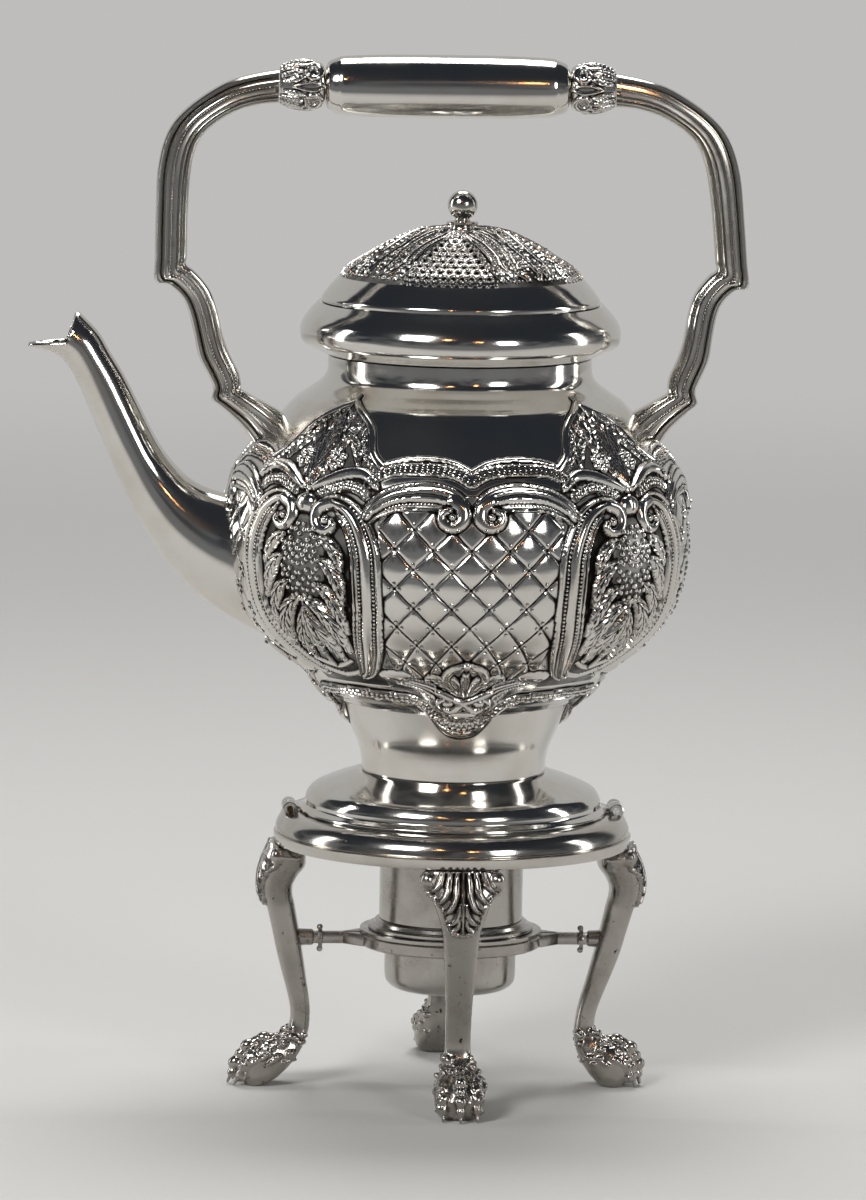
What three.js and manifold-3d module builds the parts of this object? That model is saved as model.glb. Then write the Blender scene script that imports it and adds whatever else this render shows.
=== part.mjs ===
// A silver-plated spirit kettle on its lampstand, with a spirit burner under it.
// Millimetres, +Z up. The spout points along -X and the fixed loop handle stands in the XZ plane.
// The pieces are made round the kettle's own axis, and the whole object is then moved along X,
// so that the origin is on the table under the middle of its reach from lip to handle.

import * as THREE from 'three';
import { mergeVertices } from 'three/addons/utils/BufferGeometryUtils.js';
import Module from 'manifold-3d';

const wasm = await Module();
wasm.setup();

// Fits and walls
const seatGap = 0.3; // between two pieces that rest on each other or are soldered
const slideFit = 0.4; // round the lid's rim in the kettle's mouth
const cutOverrun = 2; // how far a cutting shape runs past what it cuts
const weldTolerance = 0.0001;
const bodyWall = 1.6;
const collarWall = 1.5;
const footWall = 1.5;
const lidWall = 1.4;
const spoutWall = 1.3;
const burnerWall = 1.2;

// Lampstand
const legHeight = 91.4; // table to the top of a knee
const legReach = 79.3; // axis to the tip of a toe, as cast
const legWidth = 31.6; // across the scrolls of the knee
const leftFootOffset = 5.4; // how far use has spread the left foot
const rightFootOffset = -5.4; // and drawn in the right one
const legSetPowerShare = 2.5; // the bend grows with this power of the depth below the knee
const toeLength = 16.5;
const toeWidth = 7.2;
const toeHeight = 12.2;
const toeCentreHeight = 9.6;
const toePivotReach = 62.5; // the point from which the toes fan out
const toeFanRadius = 9.2; // pivot to the middle of a toe
const toeFanTurnShare = 0.1; // of a full turn, between two toes
const toeDropTurnShare = 0.045; // tip of a toe turned down, of a full turn
const talonDropTurnShare = 0.19;
const talonLength = 6;
const talonRadius = 1.9;
const ringRadius = 66.3;
const ringHeight = 11.7;
const ringBore = 47.5; // radius of the opening under the kettle
const ringThickness = 3;

// Hinge between stand and kettle, the same on both sides
const hingeReach = 60.6; // axis of the object to the hinge line
const hingeRise = 1; // hinge line over the top of the ring
const eyeRadius = 2.75;
const eyeBore = 1.4;
const knuckleLength = 4.2;
const eyeLength = 4.6;
const pinRadius = 1.1;
const pinRecess = 0.5; // a pin's end under the face of its eye
const knuckleTabHeight = 1.2;

// Kettle
const footRadius = 57;
const footHeight = 14.9;
const bodyRadius = 86;
const bodyHeight = 154.1; // from the foot to the collar
const collarRadius = 59.2;
const collarHeight = 19.3;
const mouthRadius = 46.8; // the collar's bore, which takes the lid
const bottomThickness = 1.6;
const scrollRelief = 1.6; // how far the cast scrolls and leaves stand out from the belly
const scrollWidth = 12;
const waistSeamShare = 0.1725; // of the body's height, where the waist meets the chased belly
const neckSeamShare = 0.92; // of the body's height, where the neck is soldered on the shoulder

// Spout
const spoutLength = 91.1; // along X, from the root inside the body to the lip
const spoutRise = 123.3; // from the lowest point of the root to the back of the mouth
const spoutRootShare = 0.299; // lowest point of the root, of the body's height
const spoutWidth = 35; // across the root

// Handle
const handleHalfSpan = 109.4;
const handSpace = 25.8; // the finial to the underside of the grip
const handleRootShare = 0.786; // of the body's height
const barDepth = 10.4; // of the reeded bar, along Y
const handleLeanShare = 0.04; // drift towards the spout for each unit of height
const handleLeanDepth = 25; // the lean starts this far under the root
const gripLength = 89.6;
const gripRadius = 12.05;
const gripWall = 1.3;
const gripDrop = 5.6; // grip's axis under the top of the arms
const sleeveLength = 16.6;
const sleeveRadius = 9.2;
const rodRadius = 3.2;

// Lid
const lidRadius = 51.2;
const lidHeight = 26.7;
const bezelDepth = 7.1; // into the mouth
const bezelWall = 1.2;
const bezelFlange = 1.6;
const finialHeight = 14.25;
const finialBallRadius = 5.55;
const finialDiscRadius = 5.7;
const finialNeckRadius = 2.4;
const stemRadius = 1.6;
const stemLength = 7.1;
const nutRadius = 4;
const nutHeight = 3.2;

// Burner and the ring that holds it
const burnerRingRadius = 33.7;
const burnerRingWall = 2;
const burnerRingHeight = 4.5;
const burnerRingShare = 0.582; // level of the ring's bottom, of a leg's height
const armThickness = 3;
const armHeight = 4.4;
const armRootReach = 6; // half width of an arm's root on the ring
const armReach = 53.4; // end of an arm, inside its socket
const socketRadius = 3.9;
const socketGrip = 2.4; // how much of an arm's end is inside its socket
const socketRun = 5; // how far the boss is turned on, until the leg's own face cuts it
const clipReach = 48.6; // axis of the object to a clip
const clipRadius = 4.2;
const clipWire = 0.75; // radius of the wire
const clipBall = 1.15;
const clipHalfTurnShare = 0.29; // half of the clip's arc, of a full turn
const cupRadius = 24.3;
const cupDepth = 21.4; // under the flange
const coverRadius = 30.6;
const coverRise = 3.6;
const jacketRadius = 26.6;
const jacketHeight = 30;
const wickTubeRadius = 4.2;
const wickTubeHeight = 17;
const wickTubeWall = 0.9;
const wickRadius = 2.9;
const wickRise = 3; // wick over its tube
const wickDepth = 14; // wick under the cover

// Numbers of facets
const bodySides = 28;
const burnerSides = 20;
const gripSides = 14;
const pinSides = 12;
const wireSides = 6;
const spoutSides = 14;
const ballRows = 6;

// The stack of pieces, from the table up
const ringBottom = legHeight + seatGap;
const ringTop = ringBottom + ringHeight;
const hingeHeight = ringTop + hingeRise;
const footBottom = ringTop + seatGap;
const footTop = footBottom + footHeight;
const bodyBottom = footTop + seatGap;
const waistSeam = bodyBottom + bodyHeight * waistSeamShare;
const neckSeam = bodyBottom + bodyHeight * neckSeamShare;
const bodyTop = bodyBottom + bodyHeight;
const collarBottom = bodyTop + seatGap;
const collarTop = collarBottom + collarHeight;
const lidBottom = collarTop + seatGap;
const lidTop = lidBottom + lidHeight;
const finialBottom = lidTop + seatGap;
const finialTop = finialBottom + finialHeight;
const gripHeight = finialTop + handSpace + gripRadius;
const handleTop = gripHeight + gripDrop;
const handleRoot = bodyBottom + bodyHeight * handleRootShare;
const handleRise = handleTop - handleRoot;
const spoutRoot = bodyBottom + bodyHeight * spoutRootShare;
const burnerRingLevel = legHeight * burnerRingShare;
const burnerRingTop = burnerRingLevel + burnerRingHeight;
const armLevel = burnerRingLevel + armHeight / 2;
const flangeLevel = burnerRingTop + seatGap;
const coverLevel = flangeLevel + burnerWall + seatGap;
const jacketLevel = coverLevel + coverRise + seatGap;

// Finishes
const silver = new THREE.MeshStandardMaterial({ color: 0xc6c8cc, roughness: 0.16, metalness: 1 });
const wornSilver = new THREE.MeshStandardMaterial({ color: 0xa9abaf, roughness: 0.3, metalness: 1 });
const brass = new THREE.MeshStandardMaterial({ color: 0xb89a5a, roughness: 0.35, metalness: 1 });
const cotton = new THREE.MeshStandardMaterial({ color: 0xd9d2c0, roughness: 0.95, metalness: 0 });

// Joins equal vertices, drops triangles without area and turns the faces outwards.
function weld(geometry) {
  geometry.deleteAttribute('normal');
  geometry.deleteAttribute('uv');
  const merged = mergeVertices(geometry, weldTolerance);
  const corners = merged.index.array;
  const at = (i) => new THREE.Vector3().fromBufferAttribute(merged.attributes.position, i);
  const kept = [];
  let sixVolumes = 0;
  for (let i = 0; i < corners.length; i += 3) {
    const [a, b, c] = corners.slice(i, i + 3);
    if (a === b || b === c || c === a) continue;
    kept.push(a, b, c);
    sixVolumes += at(a).dot(at(b).cross(at(c)));
  }
  if (sixVolumes < 0) kept.reverse();
  merged.setIndex(kept);
  return merged;
}

// A closed geometry as a solid that can be cut and joined.
function solidOf(geometry) {
  const welded = weld(geometry);
  const vertProperties = new Float32Array(welded.attributes.position.array);
  const triVerts = new Uint32Array(welded.index.array);
  return new wasm.Manifold(new wasm.Mesh({ numProp: 3, vertProperties, triVerts }));
}

// A cut or joined solid as a geometry again.
function geometryOf(solid) {
  const mesh = solid.getMesh();
  const geometry = new THREE.BufferGeometry();
  geometry.setAttribute('position', new THREE.BufferAttribute(mesh.vertProperties, 3));
  geometry.setIndex(new THREE.BufferAttribute(mesh.triVerts, 1));
  return geometry;
}

// A named mesh of a plain geometry or of a solid.
function piece(name, shape, finish = silver) {
  const geometry = shape instanceof THREE.BufferGeometry ? weld(shape) : geometryOf(shape);
  geometry.computeVertexNormals();
  const mesh = new THREE.Mesh(geometry, finish);
  mesh.name = name;
  return mesh;
}

// Points of an outline from shares of a radius and of a height.
function outlineOf(shares, radius, bottom, height) {
  return shares.map(([out, up]) => [radius * out, bottom + height * up]);
}

// The outline moved sideways by a distance, to its left as it is walked.
function offset(outline, distance) {
  return outline.map(([r, z], i) => {
    const [r0, z0] = outline[Math.max(i - 1, 0)];
    const [r1, z1] = outline[Math.min(i + 1, outline.length - 1)];
    const length = Math.hypot(r1 - r0, z1 - z0);
    return [r - (distance * (z1 - z0)) / length, z + (distance * (r1 - r0)) / length];
  });
}

// The inside of a wall, walked back, with every second point of the outside from a first one.
function insideOf(outline, wall, first = 0) {
  return offset(outline, wall).filter((_, i) => (i - first) % 2 === 0).reverse();
}

// A closed profile of [radius, height] points turned round the Z axis.
function revolve(profile, sides) {
  const points = [...profile, profile[0]].map(([r, z]) => new THREE.Vector2(r, z));
  return new THREE.LatheGeometry(points, sides).rotateX(Math.PI / 2);
}

// A straight tube or rod along Z between two heights.
function tube(inner, outer, from, to, sides) {
  return revolve([[inner, from], [outer, from], [outer, to], [inner, to]], sides);
}

// A skin over equal rings of points, closed at both ends by the section's own shape.
function loft(rings, section) {
  const count = section.length;
  const corners = [];
  for (let i = 0; i + 1 < rings.length; i += 1) {
    for (let j = 0; j < count; j += 1) {
      const a = i * count + j;
      const b = i * count + ((j + 1) % count);
      corners.push(a, b, b + count, a, b + count, a + count);
    }
  }
  const flat = section.map(([u, v]) => new THREE.Vector2(u, v));
  const last = (rings.length - 1) * count;
  for (const [a, b, c] of THREE.ShapeUtils.triangulateShape(flat, [])) {
    corners.push(c, b, a, last + a, last + b, last + c);
  }
  const geometry = new THREE.BufferGeometry();
  geometry.setAttribute('position', new THREE.Float32BufferAttribute(rings.flat(2), 3));
  geometry.setIndex(corners);
  return geometry;
}

// A bar between two rails in the XZ plane. Each station holds the two rail points and half the
// width across, and the section's first share runs from rail to rail, its second one across.
function railBar(stations, section) {
  const rings = stations.map(({ a, b, half }) => section.map(([u, v]) => [
    (a[0] + b[0]) / 2 + ((a[0] - b[0]) / 2) * u,
    half * v,
    (a[1] + b[1]) / 2 + ((a[1] - b[1]) / 2) * u,
  ]));
  return loft(rings, section);
}

// A round section as shares of its half width.
function roundSection(sides) {
  return Array.from({ length: sides }, (_, i) => {
    const turn = (2 * Math.PI * i) / sides;
    return [Math.cos(turn), Math.sin(turn)];
  });
}

// The kettle's outline from its foot to its collar: waist, bulging belly, shoulder and neck.
const bodyShares = [
  [0.395, 0], [0.4, 0.035], [0.415, 0.066], [0.438, 0.096], [0.494, 0.169], [0.512, 0.176],
  [0.566, 0.205], [0.635, 0.247], [0.71, 0.278], [0.802, 0.315], [0.891, 0.363], [0.948, 0.412],
  [0.985, 0.48], [1, 0.555], [0.991, 0.63], [0.966, 0.695], [0.924, 0.75], [0.847, 0.802],
  [0.719, 0.886], [0.658, 0.912], [0.598, 0.936], [0.569, 0.96], [0.565, 1],
];
const bodyOutline = outlineOf(bodyShares, bodyRadius, bodyBottom, bodyHeight);
const waistRadius = bodyOutline[0][0];
const neckRadius = bodyOutline.at(-1)[0];

// The main cast relief of half a panel: the scroll that stands beside the quilted field, the one
// that arches over it, the scalloped edge under it, two leaves and the rim of the shoulder spray.
// Each point is a share of the half panel across, a share of the body's height, and a share of
// the scroll's width.
const panelCount = 4;
const frameScrollShares = [
  [0.806, 0.276, 0.4], [0.71, 0.299, 0.7], [0.645, 0.341, 0.85], [0.598, 0.403, 1],
  [0.578, 0.494, 1], [0.587, 0.578, 1], [0.634, 0.637, 0.9], [0.71, 0.675, 0.75],
  [0.806, 0.692, 0.55], [0.892, 0.679, 0.4],
];
const archScrollShares = [
  [0.591, 0.666, 0.43], [0.538, 0.69, 0.67], [0.43, 0.713, 0.8], [0.301, 0.721, 0.9],
  [0.194, 0.72, 0.88], [0.108, 0.71, 0.77],
];
const edgeScrollShares = [
  [-0.01, 0.151, 0.4], [0.108, 0.154, 0.4], [0.194, 0.165, 0.4], [0.28, 0.186, 0.4],
  [0.366, 0.208, 0.38], [0.473, 0.219, 0.36], [0.645, 0.222, 0.34], [0.82, 0.225, 0.32],
  [1.01, 0.227, 0.32],
];
const upperLeafShares = [
  [0.914, 0.614, 0.3], [0.828, 0.588, 0.6], [0.757, 0.546, 0.75], [0.723, 0.494, 0.7],
  [0.731, 0.435, 0.25],
];
const lowerLeafShares = [
  [0.93, 0.462, 0.3], [0.895, 0.457, 0.5], [0.813, 0.426, 0.63], [0.787, 0.377, 0.47],
  [0.826, 0.338, 0.2],
];
const sprayRimShares = [
  [0.548, 0.779, 0.2], [0.645, 0.809, 0.24], [0.71, 0.854, 0.24], [0.785, 0.878, 0.24],
  [0.882, 0.892, 0.24], [1.01, 0.902, 0.24],
];

// The relief that stands between two panels: the hanging fruit, and the plume on the shoulder.
const fruitShares = [[1, 0.465, 0.6], [1, 0.51, 1.2], [1, 0.57, 1.3], [1, 0.63, 1], [1, 0.655, 0.5]];
const plumeShares = [[1, 0.727, 0.3], [1, 0.779, 0.7], [1, 0.831, 0.58], [1, 0.872, 0.25]];
const scrollSectionShares = [[1, 0], [0.7, 1], [-0.7, 1], [-1, 0]];

// A place on the belly and the direction straight out of it, from shares across and up.
function onBelly(panelTurn, across, up) {
  const next = bodyShares.findIndex(([, share]) => share > up);
  const [[r0, z0], [r1, z1]] = [bodyOutline[next - 1], bodyOutline[next]];
  const part = (up - bodyShares[next - 1][1]) / (bodyShares[next][1] - bodyShares[next - 1][1]);
  const turn = panelTurn + (across * Math.PI) / panelCount;
  const length = Math.hypot(r1 - r0, z1 - z0);
  const around = (r, z) => new THREE.Vector3(r * Math.cos(turn), r * Math.sin(turn), z);
  const place = around(r0 + (r1 - r0) * part, z0 + (z1 - z0) * part);
  return { place, outward: around((z1 - z0) / length, (r0 - r1) / length) };
}

// One form along its points, rooted in the wall and grown by a gap where it cuts another piece.
function scroll(shares, panelTurn, side, grown) {
  const root = bodyWall * 0.6;
  const stations = shares.map(([across, up]) => onBelly(panelTurn, side * across, up));
  const rings = stations.map(({ place, outward }, i) => {
    const before = stations[Math.max(i - 1, 0)].place;
    const after = stations[Math.min(i + 1, stations.length - 1)].place;
    const sideways = after.clone().sub(before).cross(outward).normalize();
    const half = (scrollWidth * shares[i][2]) / 2 + grown;
    return scrollSectionShares.map(([u, v]) => place.clone()
      .addScaledVector(sideways, half * u)
      .addScaledVector(outward, (scrollRelief + grown + root) * v - root)
      .toArray());
  });
  return solidOf(loft(rings, scrollSectionShares));
}

// All main relief of the belly.
function relief(grown) {
  const mirrored = [frameScrollShares, archScrollShares, edgeScrollShares, upperLeafShares,
    lowerLeafShares, sprayRimShares];
  const made = [];
  for (let panel = 0; panel < panelCount; panel += 1) {
    const panelTurn = (2 * Math.PI * panel) / panelCount;
    for (const shares of mirrored) {
      made.push(...[-1, 1].map((side) => scroll(shares, panelTurn, side, grown)));
    }
    made.push(...[fruitShares, plumeShares].map((shares) => scroll(shares, panelTurn, 1, grown)));
  }
  return wasm.Manifold.union(made);
}

// The belly as one block, a seat's gap larger: what is soldered to the belly is cut by it.
function bellyBlock() {
  const grown = offset(bodyOutline, -seatGap);
  const plain = solidOf(revolve([[0, bodyBottom], ...grown, [0, bodyTop]], bodySides));
  return plain.add(relief(seatGap));
}

// The spout's two edges seen from the side, as shares of its length and rise from the root,
// first the lower edge and then the upper one, and the share of its width across.
const spoutShares = [
  [-0.044, 0, 0.022, 0.442, 1], [0.088, 0.05, 0.176, 0.454, 1], [0.209, 0.101, 0.242, 0.465, 0.943],
  [0.334, 0.172, 0.302, 0.483, 0.874], [0.437, 0.252, 0.357, 0.511, 0.789],
  [0.52, 0.345, 0.412, 0.553, 0.697], [0.584, 0.433, 0.459, 0.599, 0.629],
  [0.651, 0.538, 0.501, 0.653, 0.583], [0.722, 0.657, 0.56, 0.738, 0.526],
  [0.779, 0.755, 0.615, 0.815, 0.491], [0.829, 0.826, 0.663, 0.872, 0.474],
  [0.889, 0.87, 0.717, 0.938, 0.469], [1, 0.892, 0.8, 1, 0.434],
];
const mouthNotchShares = [0.846, 0.907]; // the lowest point of the mouth's edge, at its sides
const spoutRootRadius = bodyRadius * 0.791;

// A place on the spout from its shares.
function spoutPoint(out, up) {
  return [-spoutRootRadius - spoutLength * out, spoutRoot + spoutRise * up];
}

// The spout's stations, drawn in by a wall, and run past both ends when they make its bore.
function spoutStations(wall) {
  const stations = spoutShares.map(([lowOut, lowUp, highOut, highUp, across]) => {
    const low = new THREE.Vector2(...spoutPoint(lowOut, lowUp));
    const high = new THREE.Vector2(...spoutPoint(highOut, highUp));
    const inward = high.clone().sub(low).normalize().multiplyScalar(wall);
    const a = low.add(inward).toArray();
    const b = high.sub(inward).toArray();
    return { a, b, half: (spoutWidth * across) / 2 - wall };
  });
  if (wall > 0) {
    const beyond = (end, next) => {
      const run = new THREE.Vector2(...end).sub(new THREE.Vector2(...next)).normalize();
      return run.multiplyScalar(cutOverrun).add(new THREE.Vector2(...end)).toArray();
    };
    const last = stations.at(-1);
    const before = stations.at(-2);
    stations.push({ a: beyond(last.a, before.a), b: beyond(last.b, before.b), half: last.half });
  }
  return stations;
}

// The hollow of the spout, which also opens the body behind it.
function spoutBore() {
  return solidOf(railBar(spoutStations(spoutWall), roundSection(spoutSides)));
}

// What is cut from the end of the spout to leave a pouring lip and a raised back.
function mouthCut() {
  const [lip, notch, back] = [spoutShares.at(-1).slice(0, 2), mouthNotchShares,
    spoutShares.at(-1).slice(2, 4)].map((shares) => spoutPoint(...shares));
  const past = spoutWidth / 4;
  const corners = [lip, notch, back, [back[0], back[1] + past], [lip[0] - past, back[1] + past],
    [lip[0] - past, lip[1]]];
  const shape = new THREE.Shape(corners.map(([x, z]) => new THREE.Vector2(x, z)));
  const block = new THREE.ExtrudeGeometry(shape, { depth: spoutWidth, bevelEnabled: false });
  return solidOf(block.translate(0, 0, -spoutWidth / 2).rotateX(Math.PI / 2));
}

// The swan-neck spout, hollow from the belly to the lip.
function spout(belly, bore) {
  const outside = solidOf(railBar(spoutStations(0), roundSection(spoutSides)));
  return piece('spout', outside.subtract(belly).subtract(bore).subtract(mouthCut()));
}

// The kettle's shell, open at the top and at the waist, with a hole into the spout, as the three
// sections that are soldered together: the plain waist, the chased belly and the plain neck.
function bodyShell(bore) {
  const profile = [...bodyOutline, ...insideOf(bodyOutline, bodyWall)];
  const shell = solidOf(revolve(profile, bodySides)).add(relief(0)).subtract(bore);
  const half = seatGap / 2;
  return [
    ['kettle_waist', bodyBottom - cutOverrun, waistSeam - half],
    ['kettle_body', waistSeam + half, neckSeam - half],
    ['kettle_neck', neckSeam + half, bodyTop + cutOverrun],
  ].map(([name, from, to]) => {
    const slab = new THREE.BoxGeometry(3 * bodyRadius, 3 * bodyRadius, to - from);
    return piece(name, shell.intersect(solidOf(slab.translate(0, 0, (from + to) / 2))));
  });
}

// The plate that closes the waist over the flame.
function kettleBottom() {
  const radius = waistRadius - bodyWall - seatGap;
  const bottom = bodyBottom + seatGap;
  return piece('kettle_bottom', tube(0, radius, bottom, bottom + bottomThickness, bodySides));
}

// The spread foot under the waist, a thin skirt.
const footShares = [
  [1, 0], [1, 0.06], [0.963, 0.18], [0.961, 0.302], [0.947, 0.43], [0.912, 0.584], [0.8, 0.779],
  [0.667, 0.953], [0.63, 1],
];
function kettleFoot() {
  const outline = outlineOf(footShares, footRadius, footBottom, footHeight);
  const seat = waistRadius - bodyWall;
  const wall = insideOf(outline, footWall).slice(1, -1);
  const rim = [[footRadius - footWall, footBottom]];
  const top = [[seat, footTop], [seat, footTop - footWall]];
  return piece('kettle_foot', revolve([...outline, ...top, ...wall, ...rim], bodySides));
}

// The flared collar round the mouth, turned in at its top as a seat for the lid.
const collarShares = [
  [0.86, 0.062], [0.912, 0.14], [0.98, 0.238], [1, 0.43], [0.986, 0.627], [0.944, 0.819],
  [0.889, 1],
];
function neckCollar() {
  const outline = outlineOf(collarShares, collarRadius, collarBottom, collarHeight);
  const seat = neckRadius - bodyWall;
  const inner = insideOf(outline, collarWall).slice(1, -1);
  const under = [mouthRadius, collarTop - collarWall];
  return piece('neck_collar', revolve([
    [seat, collarBottom], [neckRadius + seatGap, collarBottom], ...outline,
    [mouthRadius, collarTop], under, ...inner, [seat, collarBottom + collarWall],
  ], bodySides));
}

// Drift of the handle towards the spout at a height.
function handleLean(height) {
  return -handleLeanShare * (height - handleRoot + handleLeanDepth);
}

// A handle arm's outer and inner edge, as shares of the half span and the rise.
const armShares = [
  [0.569, 1, 0.569, 0.91], [0.665, 0.985, 0.639, 0.904], [0.759, 0.959, 0.718, 0.884],
  [0.874, 0.898, 0.8, 0.843], [0.944, 0.83, 0.843, 0.799], [0.98, 0.734, 0.867, 0.734],
  [0.991, 0.618, 0.882, 0.618], [0.998, 0.501, 0.889, 0.505], [1, 0.432, 0.892, 0.478],
  [0.956, 0.422, 0.863, 0.459], [0.912, 0.389, 0.818, 0.414], [0.89, 0.349, 0.794, 0.36],
  [0.874, 0.291, 0.777, 0.291], [0.861, 0.233, 0.756, 0.24], [0.831, 0.182, 0.726, 0.189],
  [0.814, 0.148, 0.719, 0.16], [0.82, 0.116, 0.718, 0.145], [0.793, 0.097, 0.69, 0.131],
  [0.726, 0.047, 0.628, 0.104], [0.676, -0.011, 0.58, 0.08], [0.603, -0.087, 0.512, 0.022],
];
// The reeded bar: a broad rounded band between two narrow ribs, the same front and back.
const barSectionShares = [
  [1, 0.2], [0.84, 0.6], [0.56, 0.46], [0.36, 0.92], [-0.36, 0.92], [-0.56, 0.46],
  [-0.84, 0.6], [-1, 0.2], [-1, -0.2], [-0.84, -0.6], [-0.56, -0.46], [-0.36, -0.92],
  [0.36, -0.92], [0.56, -0.46], [0.84, -0.6], [1, -0.2],
];
function handleArm(name, side, belly) {
  const place = (out, up) => {
    const height = handleRoot + handleRise * up;
    return [side * handleHalfSpan * out + handleLean(height), height];
  };
  const stations = armShares.map(([outerOut, outerUp, innerOut, innerUp]) => ({
    a: place(outerOut, outerUp), b: place(innerOut, innerUp), half: barDepth / 2,
  }));
  stations[0].a[0] = gripCentre + side * (gripLength / 2 + sleeveLength + 2 * seatGap);
  stations[0].b[0] = stations[0].a[0];
  return piece(name, solidOf(railBar(stations, barSectionShares)).subtract(belly));
}

const gripCentre = handleLean(gripHeight);

// A turned piece of the grip, along X round the grip's own axis.
function onGrip(profile, sides) {
  return revolve(profile.map(([x, r]) => [r, x]), sides)
    .rotateY(Math.PI / 2)
    .translate(gripCentre, 0, gripHeight);
}

// The hollow metal grip, swelling slightly to the middle, with rounded ends.
const gripShares = [[-1, 0.564], [-0.969, 0.764], [-0.906, 0.863], [-0.82, 0.93], [-0.4, 0.988]];
function handleGrip() {
  const half = gripLength / 2;
  const left = gripShares.map(([along, out]) => [half * along, gripRadius * out]);
  const right = left.map(([x, r]) => [-x, r]).reverse();
  const outline = [...left, ...right];
  const inner = insideOf(outline.slice(1, -1), -gripWall);
  const bore = rodRadius + seatGap;
  return piece('handle_grip', onGrip([
    [-half, bore], ...outline, [half, bore], [half - gripWall, bore], ...inner,
    [gripWall - half, bore],
  ], gripSides));
}

// The leaf-chased sleeve between an arm and the grip.
const sleeveShares = [[0, 0.74], [0.08, 0.93], [0.28, 1], [0.62, 0.965], [0.86, 0.82], [1, 0.69]];
function gripSleeve(name, side) {
  const start = gripLength / 2 + seatGap;
  const bore = rodRadius + seatGap;
  const outline = sleeveShares.map(
    ([along, out]) => [side * (start + sleeveLength * along), sleeveRadius * out],
  );
  const end = side * (start + sleeveLength);
  const floor = end - side * gripWall;
  return piece(name, onGrip([
    [side * start, bore], ...outline, [end, 0], [floor, 0], [floor, bore],
  ], gripSides));
}

// The rod that ties both arms together through the grip.
function gripRod() {
  const half = gripLength / 2 + sleeveLength - gripWall;
  return piece('grip_rod', onGrip([[-half, 0], [-half, rodRadius], [half, rodRadius], [half, 0]],
    pinSides), brass);
}

// The domed lid, plain at its edge, with a hole for the finial's stem.
const lidShares = [
  [1, 0], [1, 0.075], [0.941, 0.21], [0.877, 0.348], [0.791, 0.491], [0.672, 0.629],
  [0.549, 0.772], [0.404, 0.91], [0.283, 0.985], [0.14, 1],
];
function lidDome() {
  const outline = outlineOf(lidShares, lidRadius, lidBottom, lidHeight);
  const hole = stemRadius + seatGap;
  const wall = insideOf(outline, lidWall, 1).slice(1);
  const rim = [[lidRadius - lidWall, lidBottom]];
  const top = [[hole, lidTop], [hole, lidTop - lidWall]];
  return piece('lid_dome', revolve([...outline, ...top, ...wall, ...rim], bodySides));
}

// The ring under the lid that enters the kettle's mouth.
function lidBezel() {
  const outer = mouthRadius - slideFit;
  const flange = lidRadius - lidWall - seatGap;
  const top = lidBottom + bezelFlange;
  return piece('lid_bezel', revolve([
    [outer - bezelWall, lidBottom - bezelDepth], [outer, lidBottom - bezelDepth],
    [outer, lidBottom], [flange, lidBottom], [flange, top], [outer - bezelWall, top],
  ], bodySides));
}

// The ball finial on its disc, with the threaded stem that goes through the dome.
function finial() {
  const centre = finialTop - finialBallRadius;
  const discTop = finialTop - 2 * finialBallRadius;
  const ball = Array.from({ length: ballRows + 1 }, (_, i) => {
    const turn = Math.PI * (0.14 + (0.86 * i) / ballRows);
    return [finialBallRadius * Math.sin(turn), centre - finialBallRadius * Math.cos(turn)];
  });
  const lower = finialBottom + (discTop - finialBottom) / 3;
  return piece('lid_finial', revolve([
    [0, finialBottom - stemLength], [stemRadius, finialBottom - stemLength],
    [stemRadius, finialBottom], [finialDiscRadius * 0.75, finialBottom], [finialDiscRadius, lower],
    [finialDiscRadius * 0.85, (lower + discTop) / 2], [finialNeckRadius, discTop], ...ball,
  ], pinSides));
}

// The nut that holds the finial from inside the lid.
function finialNut() {
  const top = lidTop - lidWall - seatGap;
  const bore = stemRadius + seatGap;
  return piece('finial_nut', tube(bore, nutRadius, top - nutHeight, top, wireSides), brass);
}

// The moulded stand ring, hollow underneath, with troughs for the hinge barrels.
const ringShares = [
  [0.965, 0], [1, 0.03], [1, 0.31], [0.979, 0.36], [0.992, 0.42], [0.982, 0.65], [0.961, 0.87],
  [0.92, 0.965], [0.872, 1],
];
const barrelLength = knuckleLength + 2 * (eyeLength + seatGap);
function standRing() {
  const outline = outlineOf(ringShares, ringRadius, ringBottom, ringHeight);
  const skirt = ringRadius - ringThickness;
  const under = ringTop - ringThickness;
  let ring = solidOf(revolve([
    [skirt, ringBottom], ...outline, [ringBore, ringTop], [ringBore, under],
    [skirt - ringThickness, under], [skirt, under - ringThickness],
  ], bodySides));
  for (const side of [-1, 1]) {
    const half = barrelLength / 2 + seatGap;
    const trough = tube(0, eyeRadius + seatGap, -half, half, pinSides);
    trough.rotateX(Math.PI / 2).translate(side * hingeReach, 0, hingeHeight);
    ring = ring.subtract(solidOf(trough));
  }
  return piece('stand_ring', ring);
}

// One barrel piece of a hinge along Y, between two distances from the middle.
function barrel(side, from, to) {
  return tube(eyeBore, eyeRadius, from, to, pinSides)
    .rotateX(-Math.PI / 2)
    .translate(side * hingeReach, 0, hingeHeight);
}

// The two eyes on the stand, in front of the kettle's knuckle and behind it.
function standEyes(name, side) {
  const near = knuckleLength / 2 + seatGap;
  return [['front', -near - eyeLength], ['rear', near]].map(
    ([place, from]) => piece(`${name}_${place}`, barrel(side, from, from + eyeLength)),
  );
}

// The kettle's knuckle with the tab that joins it to the rim of the foot.
function kettleKnuckle(name, side) {
  const round = solidOf(barrel(side, -knuckleLength / 2, knuckleLength / 2));
  const from = footRadius + seatGap;
  const to = hingeReach - eyeBore - (eyeRadius - eyeBore) / 2;
  const tab = new THREE.BoxGeometry(to - from, knuckleLength, knuckleTabHeight);
  tab.translate((side * (from + to)) / 2, 0, footBottom + knuckleTabHeight / 2);
  return piece(name, round.add(solidOf(tab)));
}

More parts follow.
